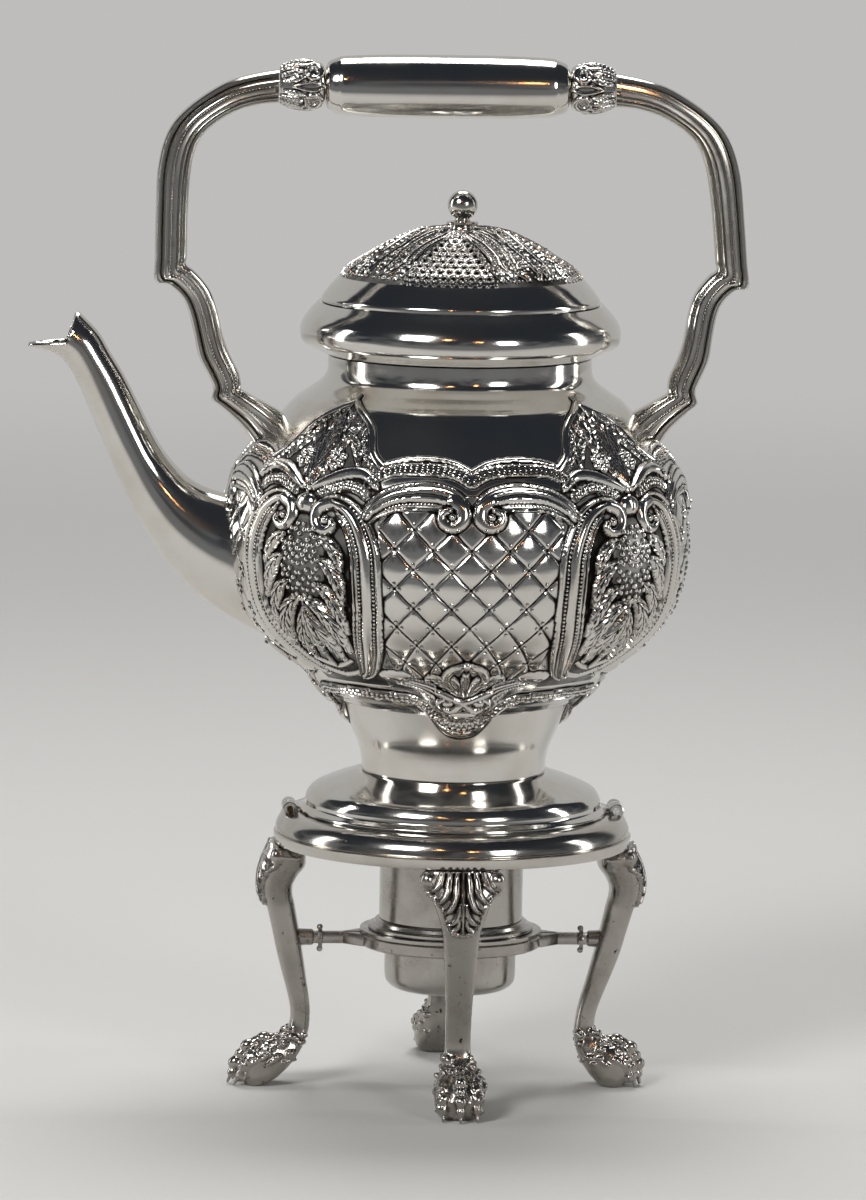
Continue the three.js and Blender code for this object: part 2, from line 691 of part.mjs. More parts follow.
// The pin on which the kettle tips towards its spout.
function hingePin() {
  const half = barrelLength / 2 - pinRecess;
  const pin = tube(0, pinRadius, -half, half, pinSides);
  return piece('hinge_pin', pin.rotateX(Math.PI / 2).translate(-hingeReach, 0, hingeHeight), brass);
}

// A cabriole leg from the side: its outer and inner edge as shares of reach and height, and the
// share of its width across, from the scrolled knee down to the sole.
const legShares = [
  [0.84, 1, 0.687, 1, 0.82], [0.848, 0.968, 0.685, 0.95, 1], [0.873, 0.925, 0.688, 0.908, 0.86],
  [0.89, 0.875, 0.719, 0.87, 0.68], [0.894, 0.826, 0.743, 0.826, 0.57],
  [0.886, 0.782, 0.743, 0.782, 0.49], [0.865, 0.742, 0.731, 0.742, 0.43],
  [0.836, 0.65, 0.709, 0.65, 0.39], [0.806, 0.547, 0.685, 0.552, 0.355],
  [0.77, 0.449, 0.661, 0.449, 0.31], [0.736, 0.361, 0.638, 0.361, 0.3],
  [0.719, 0.301, 0.627, 0.301, 0.295], [0.718, 0.252, 0.624, 0.235, 0.305],
  [0.734, 0.214, 0.636, 0.175, 0.355], [0.776, 0.188, 0.663, 0.12, 0.455],
  [0.832, 0.175, 0.711, 0.06, 0.555], [0.889, 0.162, 0.776, 0.013, 0.59],
  [0.939, 0.131, 0.857, -0.009, 0.53], [0.971, 0.088, 0.933, 0.011, 0.33],
];
const legSectionShares = [
  [1, 0.3], [0.5, 1], [-0.5, 0.95], [-1, 0.45], [-1, -0.45], [-0.5, -0.95], [0.5, -1], [1, -0.3],
];

// How far a leg's set has moved it outwards at a height.
function setAt(height, set) {
  return set * ((legHeight - height) / legHeight) ** legSetPowerShare;
}

// One toe of the paw with its talon, fanned out by a turn from the leg's own plane.
function toe(turn, set) {
  const knuckle = new THREE.SphereGeometry(1 / 2, 7, 5);
  knuckle.scale(toeLength, toeWidth, toeHeight).rotateY(toeDropTurnShare * 2 * Math.PI);
  const talon = new THREE.ConeGeometry(talonRadius, talonLength, wireSides);
  talon.rotateX(Math.PI / 2).rotateY(talonDropTurnShare * 2 * Math.PI);
  talon.translate(toeLength * 0.36, 0, -toeHeight * 0.3);
  const [round, claw] = [knuckle, talon].map((shape) => solidOf(
    shape.translate(toeFanRadius, 0, toeCentreHeight)
      .rotateZ(turn)
      .translate(toePivotReach + setAt(toeCentreHeight, set), 0, 0),
  ));
  return round.add(claw);
}

// A leg in the XZ plane, with its paw, cut level where it stands on the table.
function legSolid(set) {
  const stations = legShares.map(([outerOut, outerUp, innerOut, innerUp, across]) => {
    const place = (out, up) => {
      const height = legHeight * up;
      return [legReach * out + setAt(height, set), height];
    };
    return {
      a: place(outerOut, outerUp), b: place(innerOut, innerUp), half: (legWidth * across) / 2,
    };
  });
  let leg = solidOf(railBar(stations, legSectionShares));
  for (const step of [-1, 0, 1]) {
    leg = leg.add(toe(2 * Math.PI * toeFanTurnShare * step, set));
  }
  const floor = new THREE.BoxGeometry(2 * legReach, 2 * legWidth, toeHeight);
  return leg.subtract(solidOf(floor.translate(legReach, 0, -toeHeight / 2)));
}

// A solid turned round the Z axis by a share of a full turn.
function turned(solid, share) {
  return solidOf(geometryOf(solid).rotateZ(2 * Math.PI * share));
}

// The socket on a side leg's inner face that takes the end of a burner arm.
function armSocket(name, side, leg) {
  const from = armReach - socketGrip;
  const boss = tube(0, socketRadius, from, armReach + socketRun, pinSides);
  boss.rotateY((side * Math.PI) / 2).translate(0, 0, armLevel);
  const hole = new THREE.BoxGeometry(
    2 * (socketGrip + seatGap), armThickness + 2 * seatGap, armHeight + 2 * seatGap,
  );
  hole.translate(side * from, 0, armLevel);
  const clear = solidOf(geometryOf(leg).translate(-side * seatGap, 0, 0));
  return piece(name, solidOf(boss).subtract(clear).subtract(solidOf(hole)), wornSilver);
}

// The strap ring round the burner with its two flat arms.
function burnerRing() {
  const inner = burnerRingRadius - burnerRingWall;
  let ring = solidOf(tube(inner, burnerRingRadius, burnerRingLevel, burnerRingTop, burnerSides));
  for (const side of [-1, 1]) {
    const from = inner + burnerRingWall / 2;
    const arm = new THREE.BoxGeometry(armReach - from, armThickness, armHeight);
    ring = ring.add(solidOf(arm.translate((side * (armReach + from)) / 2, 0, armLevel)));
    const root = new THREE.Shape([
      [from, -armRootReach], [burnerRingRadius + armRootReach, 0], [from, armRootReach],
    ].map(([x, y]) => new THREE.Vector2(side * x, y)));
    const gusset = new THREE.ExtrudeGeometry(root, { depth: armHeight, bevelEnabled: false });
    ring = ring.add(solidOf(gusset.translate(0, 0, burnerRingLevel)));
  }
  return piece('burner_ring', ring, wornSilver);
}

// An arc in the YZ plane, open towards the rear, that a clip's wire follows.
class ClipArc extends THREE.Curve {
  getPoint(share) {
    const turn = 2 * Math.PI * clipHalfTurnShare * (2 * share - 1);
    return new THREE.Vector3(0, -clipRadius * Math.cos(turn), clipRadius * Math.sin(turn));
  }
}

// A sprung wire clip with ball ends, hung over an arm where it enters its socket.
function ringClip(name, side) {
  const arc = new ClipArc();
  const corners = roundSection(wireSides).map(
    ([u, v]) => new THREE.Vector2(clipWire * u, clipWire * v),
  );
  const wire = new THREE.ExtrudeGeometry(new THREE.Shape(corners), {
    steps: 8, extrudePath: arc, bevelEnabled: false,
  });
  let clip = solidOf(wire);
  for (const end of [0, 1]) {
    const ball = new THREE.SphereGeometry(clipBall, 6, 4);
    clip = clip.add(solidOf(ball.translate(...arc.getPoint(end).toArray())));
  }
  const clear = clipRadius - clipWire - seatGap;
  const hang = armLevel + armHeight / 2 - Math.sqrt(clear ** 2 - (armThickness / 2) ** 2);
  return piece(name, geometryOf(clip).translate(side * clipReach, 0, hang));
}

// The burner's fuel cup with the flange that rests on the ring.
const cupShares = [[0, 0], [0.79, 0], [0.94, 0.08], [1, 0.26], [1, 1]];
function burnerCup() {
  const outline = outlineOf(cupShares, cupRadius, flangeLevel - cupDepth, cupDepth);
  const inner = offset(outline, burnerWall).slice(1, -1).reverse();
  const top = flangeLevel + burnerWall;
  return piece('burner_cup', revolve([
    ...outline, [burnerRingRadius, flangeLevel], [burnerRingRadius, top],
    [cupRadius - burnerWall, top], ...inner, [0, flangeLevel - cupDepth + burnerWall],
  ], burnerSides));
}

// The stepped cover over the fuel, with the hole for the wick tube.
const coverShares = [[1, 0], [1, 0.3], [0.97, 0.45], [0.93, 0.5], [0.92, 0.8], [0.89, 1]];
function burnerCover() {
  const outline = outlineOf(coverShares, coverRadius, coverLevel, coverRise);
  const hole = wickTubeRadius + seatGap;
  const under = coverLevel + coverRise - burnerWall;
  const inside = outline.at(-1)[0] - burnerWall;
  return piece('burner_cover', revolve([
    ...outline, [hole, coverLevel + coverRise], [hole, under], [inside, under],
    [inside, coverLevel],
  ], burnerSides));
}

// The cylinder that shields the flame, rolled outwards at its top.
function burnerJacket() {
  const top = jacketLevel + jacketHeight;
  const inner = jacketRadius - burnerWall;
  return piece('burner_jacket', revolve([
    [inner, jacketLevel], [jacketRadius, jacketLevel], [jacketRadius, top - 2 * burnerWall],
    [jacketRadius + burnerWall / 2, top - burnerWall], [jacketRadius, top], [inner, top],
  ], burnerSides));
}

// The wick tube, held by a collar on the cover.
function wickTube() {
  const seat = jacketLevel;
  const bore = wickTubeRadius - wickTubeWall;
  return piece('wick_tube', revolve([
    [bore, seat - wickTubeHeight / 2], [wickTubeRadius, seat - wickTubeHeight / 2],
    [wickTubeRadius, seat], [wickTubeRadius * 1.6, seat], [wickTubeRadius * 1.6, seat + burnerWall],
    [wickTubeRadius, seat + burnerWall], [wickTubeRadius, seat + wickTubeHeight / 2],
    [bore, seat + wickTubeHeight / 2],
  ], pinSides), brass);
}

// The cotton wick.
function wick() {
  const top = jacketLevel + wickTubeHeight / 2 + wickRise;
  return piece('wick', tube(0, wickRadius, coverLevel - wickDepth, top, pinSides), cotton);
}

const leftLeg = turned(legSolid(leftFootOffset), 1 / 2);
const rightLeg = legSolid(rightFootOffset);
const plainLeg = legSolid(0);

const stand = new THREE.Group();
stand.add(
  standRing(),
  piece('leg_left', leftLeg, wornSilver),
  piece('leg_right', rightLeg, wornSilver),
  piece('leg_front', turned(plainLeg, -1 / 4), wornSilver),
  piece('leg_rear', turned(plainLeg, 1 / 4), wornSilver),
  ...standEyes('stand_eye_left', -1),
  ...standEyes('stand_eye_right', 1),
  hingePin(),
  burnerRing(),
  armSocket('arm_socket_left', -1, leftLeg),
  armSocket('arm_socket_right', 1, rightLeg),
);

const clips = new THREE.Group();
clips.add(ringClip('ring_clip_left', -1), ringClip('ring_clip_right', 1));

const burner = new THREE.Group();
burner.add(burnerCup(), burnerCover(), burnerJacket(), wickTube(), wick());

const belly = bellyBlock();
const bore = spoutBore();
const kettle = new THREE.Group();
kettle.add(
  ...bodyShell(bore),
  kettleBottom(),
  kettleFoot(),
  neckCollar(),
  spout(belly, bore),
  handleArm('handle_arm_left', -1, belly),
  handleArm('handle_arm_right', 1, belly),
  gripSleeve('grip_sleeve_left', -1),
  gripSleeve('grip_sleeve_right', 1),
  handleGrip(),
  gripRod(),
  kettleKnuckle('kettle_knuckle_left', -1),
  kettleKnuckle('kettle_knuckle_right', 1),
);

const lid = new THREE.Group();
lid.add(lidDome(), lidBezel(), finial(), finialNut());

// How far the lip and the right arm of the handle reach from the kettle's axis.
const lipReach = spoutRootRadius + spoutLength;
const handleReach = Math.max(...armShares.map(([out, up]) => (
  handleHalfSpan * out + handleLean(handleRoot + handleRise * up)
)));

const spiritKettle = new THREE.Group();
spiritKettle.add(stand, clips, burner, kettle, lid);
spiritKettle.position.x = (lipReach - handleReach) / 2;

export default spiritKettle;
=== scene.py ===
import itertools
import logging
import math
import random
from collections.abc import Callable, Iterable, Sequence
from dataclasses import dataclass
from enum import Enum

import bmesh
import bpy
import numpy as np
from mathutils import Matrix, Vector


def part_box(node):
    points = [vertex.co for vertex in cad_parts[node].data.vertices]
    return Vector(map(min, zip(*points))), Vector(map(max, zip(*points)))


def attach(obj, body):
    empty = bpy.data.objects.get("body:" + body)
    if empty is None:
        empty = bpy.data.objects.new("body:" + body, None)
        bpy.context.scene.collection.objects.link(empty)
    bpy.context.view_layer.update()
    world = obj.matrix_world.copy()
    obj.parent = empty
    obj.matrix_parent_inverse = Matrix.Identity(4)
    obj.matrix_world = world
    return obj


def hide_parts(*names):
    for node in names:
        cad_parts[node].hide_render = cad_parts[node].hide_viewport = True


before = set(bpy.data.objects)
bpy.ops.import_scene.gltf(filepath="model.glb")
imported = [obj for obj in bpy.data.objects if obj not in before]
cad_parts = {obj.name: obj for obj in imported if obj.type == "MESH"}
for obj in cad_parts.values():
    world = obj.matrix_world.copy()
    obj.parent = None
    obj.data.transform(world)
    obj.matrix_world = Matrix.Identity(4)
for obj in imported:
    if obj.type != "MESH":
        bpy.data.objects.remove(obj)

LOG = logging.getLogger("spirit_kettle")
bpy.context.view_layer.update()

# Sizes are in millimetres round the kettle's own axis, and a finished piece is moved to the frame.
MM = 0.001
AXIS_X = sum(corner.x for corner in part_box("stand_ring")) / 2
TO_FRAME = Matrix.Translation((AXIS_X, 0, 0)) @ Matrix.Scale(MM, 4)
SHARP_ANGLE = math.radians(38)
WELD = 0.0005
SIDES = (("left", -1), ("right", 1))
FLIP_X = Matrix.Diagonal((-1, 1, 1, 1))

Point = tuple[float, float]
Outline = list[Point]
Path = Sequence[tuple[float, ...]]
Grid = np.ndarray
Mesh = bmesh.types.BMesh


class Body(str, Enum):
    """The bodies of the frame that pieces ride on."""

    STAND = "stand"
    KETTLE = "kettle"
    LID = "lid"
    BURNER = "burner"
    CLIP_LEFT = "clip_left"
    CLIP_RIGHT = "clip_right"


class Slot(str, Enum):
    """The record's material slots."""

    SILVER = "silver_plate"
    WORN = "worn_silver_plate"
    BRASS = "brass"
    COTTON = "cotton_wick"


def level(node: str, top: bool) -> float:
    """Height of a CAD node's top or bottom over the table, in millimetres."""
    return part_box(node)[1 if top else 0].z / MM


# Colours and nodes

def linear(code: str) -> tuple[float, float, float, float]:
    """An sRGB hex colour as linear RGBA.

    Args:
        code: Six hex digits.

    Returns:
        The linear red, green and blue, and an alpha of 1.
    """
    shares = [int(code[i:i + 2], 16) / 255 for i in (0, 2, 4)]
    bent = [s / 12.92 if s <= 0.04045 else ((s + 0.055) / 1.055) ** 2.4 for s in shares]
    return (bent[0], bent[1], bent[2], 1.0)


def add_node(tree: bpy.types.NodeTree, kind: str, settings: dict | None = None,
             sockets: dict | None = None, links: dict | None = None) -> bpy.types.Node:
    """Adds one node with its settings and links.

    Args:
        tree: The node tree.
        kind: The node's type name without the ShaderNode prefix.
        settings: Properties of the node by name.
        sockets: Default values of inputs by name or number.
        links: Outputs that feed inputs, by the input's name or number.

    Returns:
        The new node.
    """
    node = tree.nodes.new("ShaderNode" + kind)
    for name, value in (settings or {}).items():
        setattr(node, name, value)
    for name, value in (sockets or {}).items():
        node.inputs[name].default_value = value
    for name, output in (links or {}).items():
        tree.links.new(output, node.inputs[name])
    return node


def new_material(name: str) -> tuple[bpy.types.Material, bpy.types.NodeTree]:
    """An empty node material and its tree."""
    material = bpy.data.materials.new(name)
    material.use_nodes = True
    material.node_tree.nodes.clear()
    return material, material.node_tree


@dataclass(frozen=True)
class SilverPlate:
    """Electroplated silver over brass, polished by hand.

    Silver gives a bright, nearly neutral mirror. Where no cloth reaches, a brown-black sulphide
    stays in the recesses, and years of wiping leave fine scratches and a faint haze.
    """

    name: str
    plate: str = "d9d7d2"
    tarnish_and_shade_colour: str = "1d1a17"
    warm: str = "b7a58c"
    roughness: float = 0.07
    haze: float = 0.10
    haze_mm: float = 26.0
    scratch_mm: float = 0.55
    pit_mm: float = 3.2
    pit_share: float = 0.03
    pit_levels: tuple[float, float] = (0.74, 0.80)
    recess_gain: float = 1.0
    haze_gain: float = 0.9
    tarnish_and_shade_levels: tuple[float, float] = (0.62, 1.35)
    tarnish_roughness: float = 0.4
    tint_levels: tuple[float, float] = (0.45, 0.75)
    tint_share: float = 0.35
    haze_levels: tuple[float, float] = (0.3, 0.75)
    bump_mm: float = 0.03
    bump_strength: float = 0.12

    def build(self) -> bpy.types.Material:
        """Makes the material from an attribute that says how deep each place lies, and how much painted shade
        a bead gets.
        """
        material, tree = new_material(self.name)
        where = add_node(tree, "TexCoord").outputs["Object"]
        haze = add_node(tree, "TexNoise", sockets={
            "Scale": 1 / (self.haze_mm * MM), "Detail": 4.0, "Roughness": 0.6}, links={"Vector": where})
        pits = add_node(tree, "TexNoise", sockets={
            "Scale": 1 / (self.pit_mm * MM), "Detail": 6.0, "Roughness": 0.7}, links={"Vector": where})
        pitted = add_node(tree, "MapRange", sockets={
            "From Min": self.pit_levels[0] - self.pit_share,
            "From Max": self.pit_levels[1] - self.pit_share},
            links={"Value": pits.outputs["Fac"]})
        # The attribute holds tarnish in hollows and, on beads, painted shade; both darken towards the tarnish
        # colour.
        deep = add_node(tree, "Attribute", {"attribute_name": "tarnish_and_shade"})
        uneven = add_node(tree, "Math", {"operation": "MULTIPLY"}, {1: self.recess_gain},
                          {0: deep.outputs["Fac"]})
        dirt_and_shade = add_node(tree, "Math", {"operation": "MULTIPLY_ADD"}, {1: self.haze_gain},
                        {0: haze.outputs["Fac"], 2: uneven.outputs[0]})
        held = add_node(tree, "MapRange", {"interpolation_type": "SMOOTHSTEP"}, {
            "From Min": self.tarnish_and_shade_levels[0], "From Max": self.tarnish_and_shade_levels[1]},
            {"Value": dirt_and_shade.outputs[0]})
        dark = add_node(tree, "Math", {"operation": "MAXIMUM"},
                        links={0: held.outputs["Result"], 1: pitted.outputs["Result"]})
        tint = add_node(tree, "MapRange", sockets={
            "From Min": self.tint_levels[0], "From Max": self.tint_levels[1], "To Max": self.tint_share},
            links={"Value": haze.outputs["Fac"]})
        clean = add_node(tree, "Mix", {"data_type": "RGBA"}, {
            6: linear(self.plate), 7: linear(self.warm)}, {0: tint.outputs["Result"]})
        colour = add_node(tree, "Mix", {"data_type": "RGBA"}, {7: linear(self.tarnish_and_shade_colour)},
                          {0: dark.outputs[0], 6: clean.outputs[2]})
        rough = add_node(tree, "MapRange", sockets={
            "From Min": self.haze_levels[0], "From Max": self.haze_levels[1], "To Min": self.roughness,
            "To Max": self.roughness + self.haze}, links={"Value": haze.outputs["Fac"]})
        rougher = add_node(tree, "Math", {"operation": "MULTIPLY_ADD"},
                           {1: self.tarnish_roughness}, {0: dark.outputs[0], 2: rough.outputs["Result"]})
        scratch = add_node(tree, "TexNoise", sockets={
            "Scale": 1 / (self.scratch_mm * MM), "Detail": 3.0}, links={"Vector": where})
        bump = add_node(tree, "Bump", sockets={
            "Strength": self.bump_strength, "Distance": self.bump_mm * MM},
            links={"Height": scratch.outputs["Fac"]})
        shader = add_node(tree, "BsdfPrincipled", sockets={"Metallic": 1.0}, links={
            "Base Color": colour.outputs[2], "Roughness": rougher.outputs[0],
            "Normal": bump.outputs["Normal"]})
        add_node(tree, "OutputMaterial", links={"Surface": shader.outputs["BSDF"]})
        return material


@dataclass(frozen=True)
class BareBrass:
    """Drawn brass, dull from handling, with a fine grain along the bar."""

    name: str = "drawn_brass"
    metal: str = "c9a866"
    roughness: float = 0.32
    grain_mm: float = 0.4
    grain_swing: tuple[float, float] = (0.08, 0.12)

    def build(self) -> bpy.types.Material:
        """Makes the material."""
        material, tree = new_material(self.name)
        where = add_node(tree, "TexCoord").outputs["Object"]
        grain = add_node(tree, "TexNoise", sockets={
            "Scale": 1 / (self.grain_mm * MM), "Detail": 4.0}, links={"Vector": where})
        rough = add_node(tree, "MapRange", sockets={
            "To Min": self.roughness - self.grain_swing[0],
            "To Max": self.roughness + self.grain_swing[1]},
            links={"Value": grain.outputs["Fac"]})
        shader = add_node(tree, "BsdfPrincipled", sockets={
            "Metallic": 1.0, "Base Color": linear(self.metal)}, links={"Roughness": rough.outputs["Result"]})
        add_node(tree, "OutputMaterial", links={"Surface": shader.outputs["BSDF"]})
        return material


@dataclass(frozen=True)
class CottonWick:
    """Braided cotton, scorched towards its end."""

    name: str = "braided_cotton"
    thread: str = "d8cfb8"
    scorch: str = "4a4038"
    strand_mm: float = 0.9
    bump_mm: float = 0.2
    roughness: float = 0.95

    def build(self) -> bpy.types.Material:
        """Makes the material."""
        material, tree = new_material(self.name)
        where = add_node(tree, "TexCoord").outputs["Object"]
        braid = add_node(tree, "TexVoronoi", sockets={"Scale": 1 / (self.strand_mm * MM)},
                         links={"Vector": where})
        colour = add_node(tree, "Mix", {"data_type": "RGBA"}, {
            6: linear(self.thread), 7: linear(self.scorch)}, {0: braid.outputs["Distance"]})
        bump = add_node(tree, "Bump", sockets={"Distance": self.bump_mm * MM},
                        links={"Height": braid.outputs["Distance"]})
        shader = add_node(tree, "BsdfPrincipled", sockets={"Roughness": self.roughness}, links={
            "Base Color": colour.outputs[2], "Normal": bump.outputs["Normal"]})
        add_node(tree, "OutputMaterial", links={"Surface": shader.outputs["BSDF"]})
        return material


@dataclass(frozen=True)
class Finishes:
    """Every finish of the object, made once."""

    bright: bpy.types.Material
    chased: bpy.types.Material
    cast: bpy.types.Material
    worn: bpy.types.Material
    smoked: bpy.types.Material
    brass: bpy.types.Material
    dull_brass: bpy.types.Material
    cotton: bpy.types.Material


def make_finishes() -> Finishes:
    """Builds the materials of the object."""
    return Finishes(
        bright=SilverPlate("bright_silver_plate").build(),
        chased=SilverPlate("chased_silver_plate", roughness=0.1).build(),
        cast=SilverPlate("worn_cast_silver_plate", plate="aaa6a0", warm="6f6354", roughness=0.15,
                         haze=0.2, haze_mm=12.0, pit_share=0.12, recess_gain=1.2, bump_mm=0.1).build(),
        worn=SilverPlate("worn_rolled_silver_plate", plate="c9c6c0", warm="9c8f7b", roughness=0.09,
                         haze=0.13, haze_mm=20.0, pit_share=0.05).build(),
        smoked=SilverPlate("heat_stained_silver_plate", plate="b4b1ac", warm="857661", roughness=0.13,
                           haze=0.2, haze_mm=15.0, pit_share=0.06).build(),
        brass=BareBrass().build(),
        dull_brass=BareBrass("tarnished_brass", metal="4a3a22", roughness=0.45).build(),
        cotton=CottonWick().build(),
    )


# Modelling tools

def rounded(points: Sequence[Point], between: int = 6) -> Outline:
    """A smooth outline through given points.

    Args:
        points: The points to go through.
        between: How many steps lie between two points.

    Returns:
        The points of a Catmull-Rom curve.
    """
    known = np.array([points[0], *points, points[-1]], float)
    known[0] += known[1] - known[2]
    known[-1] += known[-2] - known[-3]
    made = []
    for i in range(1, len(known) - 2):
        p0, p1, p2, p3 = known[i - 1:i + 3]
        for step in range(between):
            t = step / between
            made.append(tuple(0.5 * (2 * p1 + (p2 - p0) * t + (2 * p0 - 5 * p1 + 4 * p2 - p3) * t * t
                                     + (3 * p1 - p0 - 3 * p2 + p3) * t ** 3)))
    made.append(tuple(known[-2]))
    return made


def facing_out(bm: Mesh) -> Mesh:
    """The mesh itself, with its normals worked out anew."""
    bmesh.ops.recalc_face_normals(bm, faces=bm.faces[:])
    return bm


def inside_of(outline: Outline, wall: float, every: int = 3) -> Outline:
    """The inner face of a wall, walked back along an outline.

    Args:
        outline: The outer face.
        wall: The wall's thickness, to the left of the walk.
        every: Only each point of this number is kept, besides both ends.

    Returns:
        The inner points in reverse order.
    """
    flat = np.array(outline, float)
    run = np.gradient(flat, axis=0)
    run /= np.linalg.norm(run, axis=1)[:, None]
    moved = flat + wall * np.stack([-run[:, 1], run[:, 0]], axis=1)
    kept = [i for i in range(len(flat)) if i % every == 0 or i == len(flat) - 1]
    return [tuple(moved[i]) for i in reversed(kept)]


def turned(profile: Outline, steps: int = 128, angle: float = 2 * math.pi, closed: bool = True) -> Mesh:
    """Spins a profile of radius and height round the Z axis.

    Args:
        profile: Points of radius and height.
        steps: How many steps the turn takes.
        angle: The turn, in radians.
        closed: Whether the profile closes on itself.

    Returns:
        The turned mesh.
    """
    bm = bmesh.new()
    verts = [bm.verts.new((r, 0.0, z)) for r, z in profile]
    pairs = list(zip(verts, verts[1:]))
    if closed:
        pairs.append((verts[-1], verts[0]))
    edges = [bm.edges.new(pair) for pair in pairs]
    whole = angle > 2 * math.pi - WELD
    bmesh.ops.spin(bm, geom=verts + edges, cent=(0, 0, 0), axis=(0, 0, 1), angle=angle,
                   steps=steps, use_merge=whole)
    bmesh.ops.remove_doubles(bm, verts=bm.verts[:], dist=WELD)
    return facing_out(bm)


def lofted(rings: Sequence[Sequence[Vector]], capped: bool = True) -> Mesh:
    """A skin over closed rings of equally many points.

    Args:
        rings: The rings, each a closed loop.
        capped: Whether both ends are filled.

    Returns:
        The lofted mesh.
    """
    bm = bmesh.new()
    loops = []
    for ring in rings:
        verts = [bm.verts.new(point) for point in ring]
        loops.append([bm.edges.new(pair) for pair in zip(verts, verts[1:] + verts[:1])])
    for near, far in zip(loops, loops[1:]):
        bmesh.ops.bridge_loops(bm, edges=near + far)
    if capped:
        bmesh.ops.holes_fill(bm, edges=loops[0] + loops[-1])
    return facing_out(bm)


def joined(parts: Iterable[Mesh]) -> Mesh:
    """Several meshes in one, and the single ones freed."""
    whole = bmesh.new()
    for part in parts:
        mesh = bpy.data.meshes.new("part")
        part.to_mesh(mesh)
        part.free()
        whole.from_mesh(mesh)
        bpy.data.meshes.remove(mesh)
    return whole


def ball(centre: Sequence[float], radii: Sequence[float], turn: Matrix | None = None,
         sides: int = 16) -> Mesh:
    """An ellipsoid.

    Args:
        centre: Its middle.
        radii: Its three half axes.
        turn: A rotation of the half axes.
        sides: How many sides go round it.

    Returns:
        The ellipsoid's mesh.
    """
    bm = bmesh.new()
    place = Matrix.Translation(centre) @ (turn or Matrix.Identity(4)) @ Matrix.Diagonal((*radii, 1))
    bmesh.ops.create_uvsphere(bm, u_segments=sides, v_segments=sides // 2, radius=1, matrix=place)
    return bm


def fused(bm: Mesh, grain: float, softened: int) -> Mesh:
    """Overlapping closed forms as one skin of small even faces, like a casting.

    Args:
        bm: The forms, which are freed.
        grain: The faces' size in millimetres.
        softened: How many rounds of smoothing follow.

    Returns:
        The skin.
    """
    mesh = bpy.data.meshes.new("forms")
    bm.to_mesh(mesh)
    bm.free()
    forms = bpy.data.objects.new("forms", mesh)
    bpy.context.scene.collection.objects.link(forms)
    remesh = forms.modifiers.new("skin", "REMESH")
    remesh.mode = "VOXEL"
    remesh.voxel_size = grain
    bpy.context.view_layer.update()
    skin = bmesh.new()
    skin.from_object(forms, bpy.context.evaluated_depsgraph_get())
    bpy.data.objects.remove(forms)
    bpy.data.meshes.remove(mesh)
    for _ in range(softened):
        bmesh.ops.smooth_vert(skin, verts=skin.verts[:], factor=0.5, use_axis_x=True, use_axis_y=True,
                              use_axis_z=True)
    return facing_out(skin)


def finished(bm: Mesh, name: str, body: Body, finish: bpy.types.Material,
             stands_for: Sequence[str] = ()) -> bpy.types.Object:
    """Turns a mesh made in millimetres round the axis into a piece on the frame.

    Args:
        bm: The mesh, which is freed.
        name: The piece's name.
        body: The body that it rides on.
        finish: Its material.
        stands_for: The CAD nodes that it replaces.

    Returns:
        The piece.
    """
    bmesh.ops.transform(bm, matrix=TO_FRAME, verts=bm.verts[:])
    for edge in bm.edges:
        edge.smooth = len(edge.link_faces) != 2 or edge.calc_face_angle(0.0) < SHARP_ANGLE
    for face in bm.faces:
        face.smooth = True
    mesh = bpy.data.meshes.new(name)
    bm.to_mesh(mesh)
    bm.free()
    mesh.materials.append(finish)
    piece = bpy.data.objects.new(name, mesh)
    bpy.context.scene.collection.objects.link(piece)
    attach(piece, body.value)
    if stands_for:
        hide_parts(*stands_for)
    LOG.info("%s: %d faces", name, len(mesh.polygons))
    return piece


# Chasing: raised work drawn on a surface and read back as a height

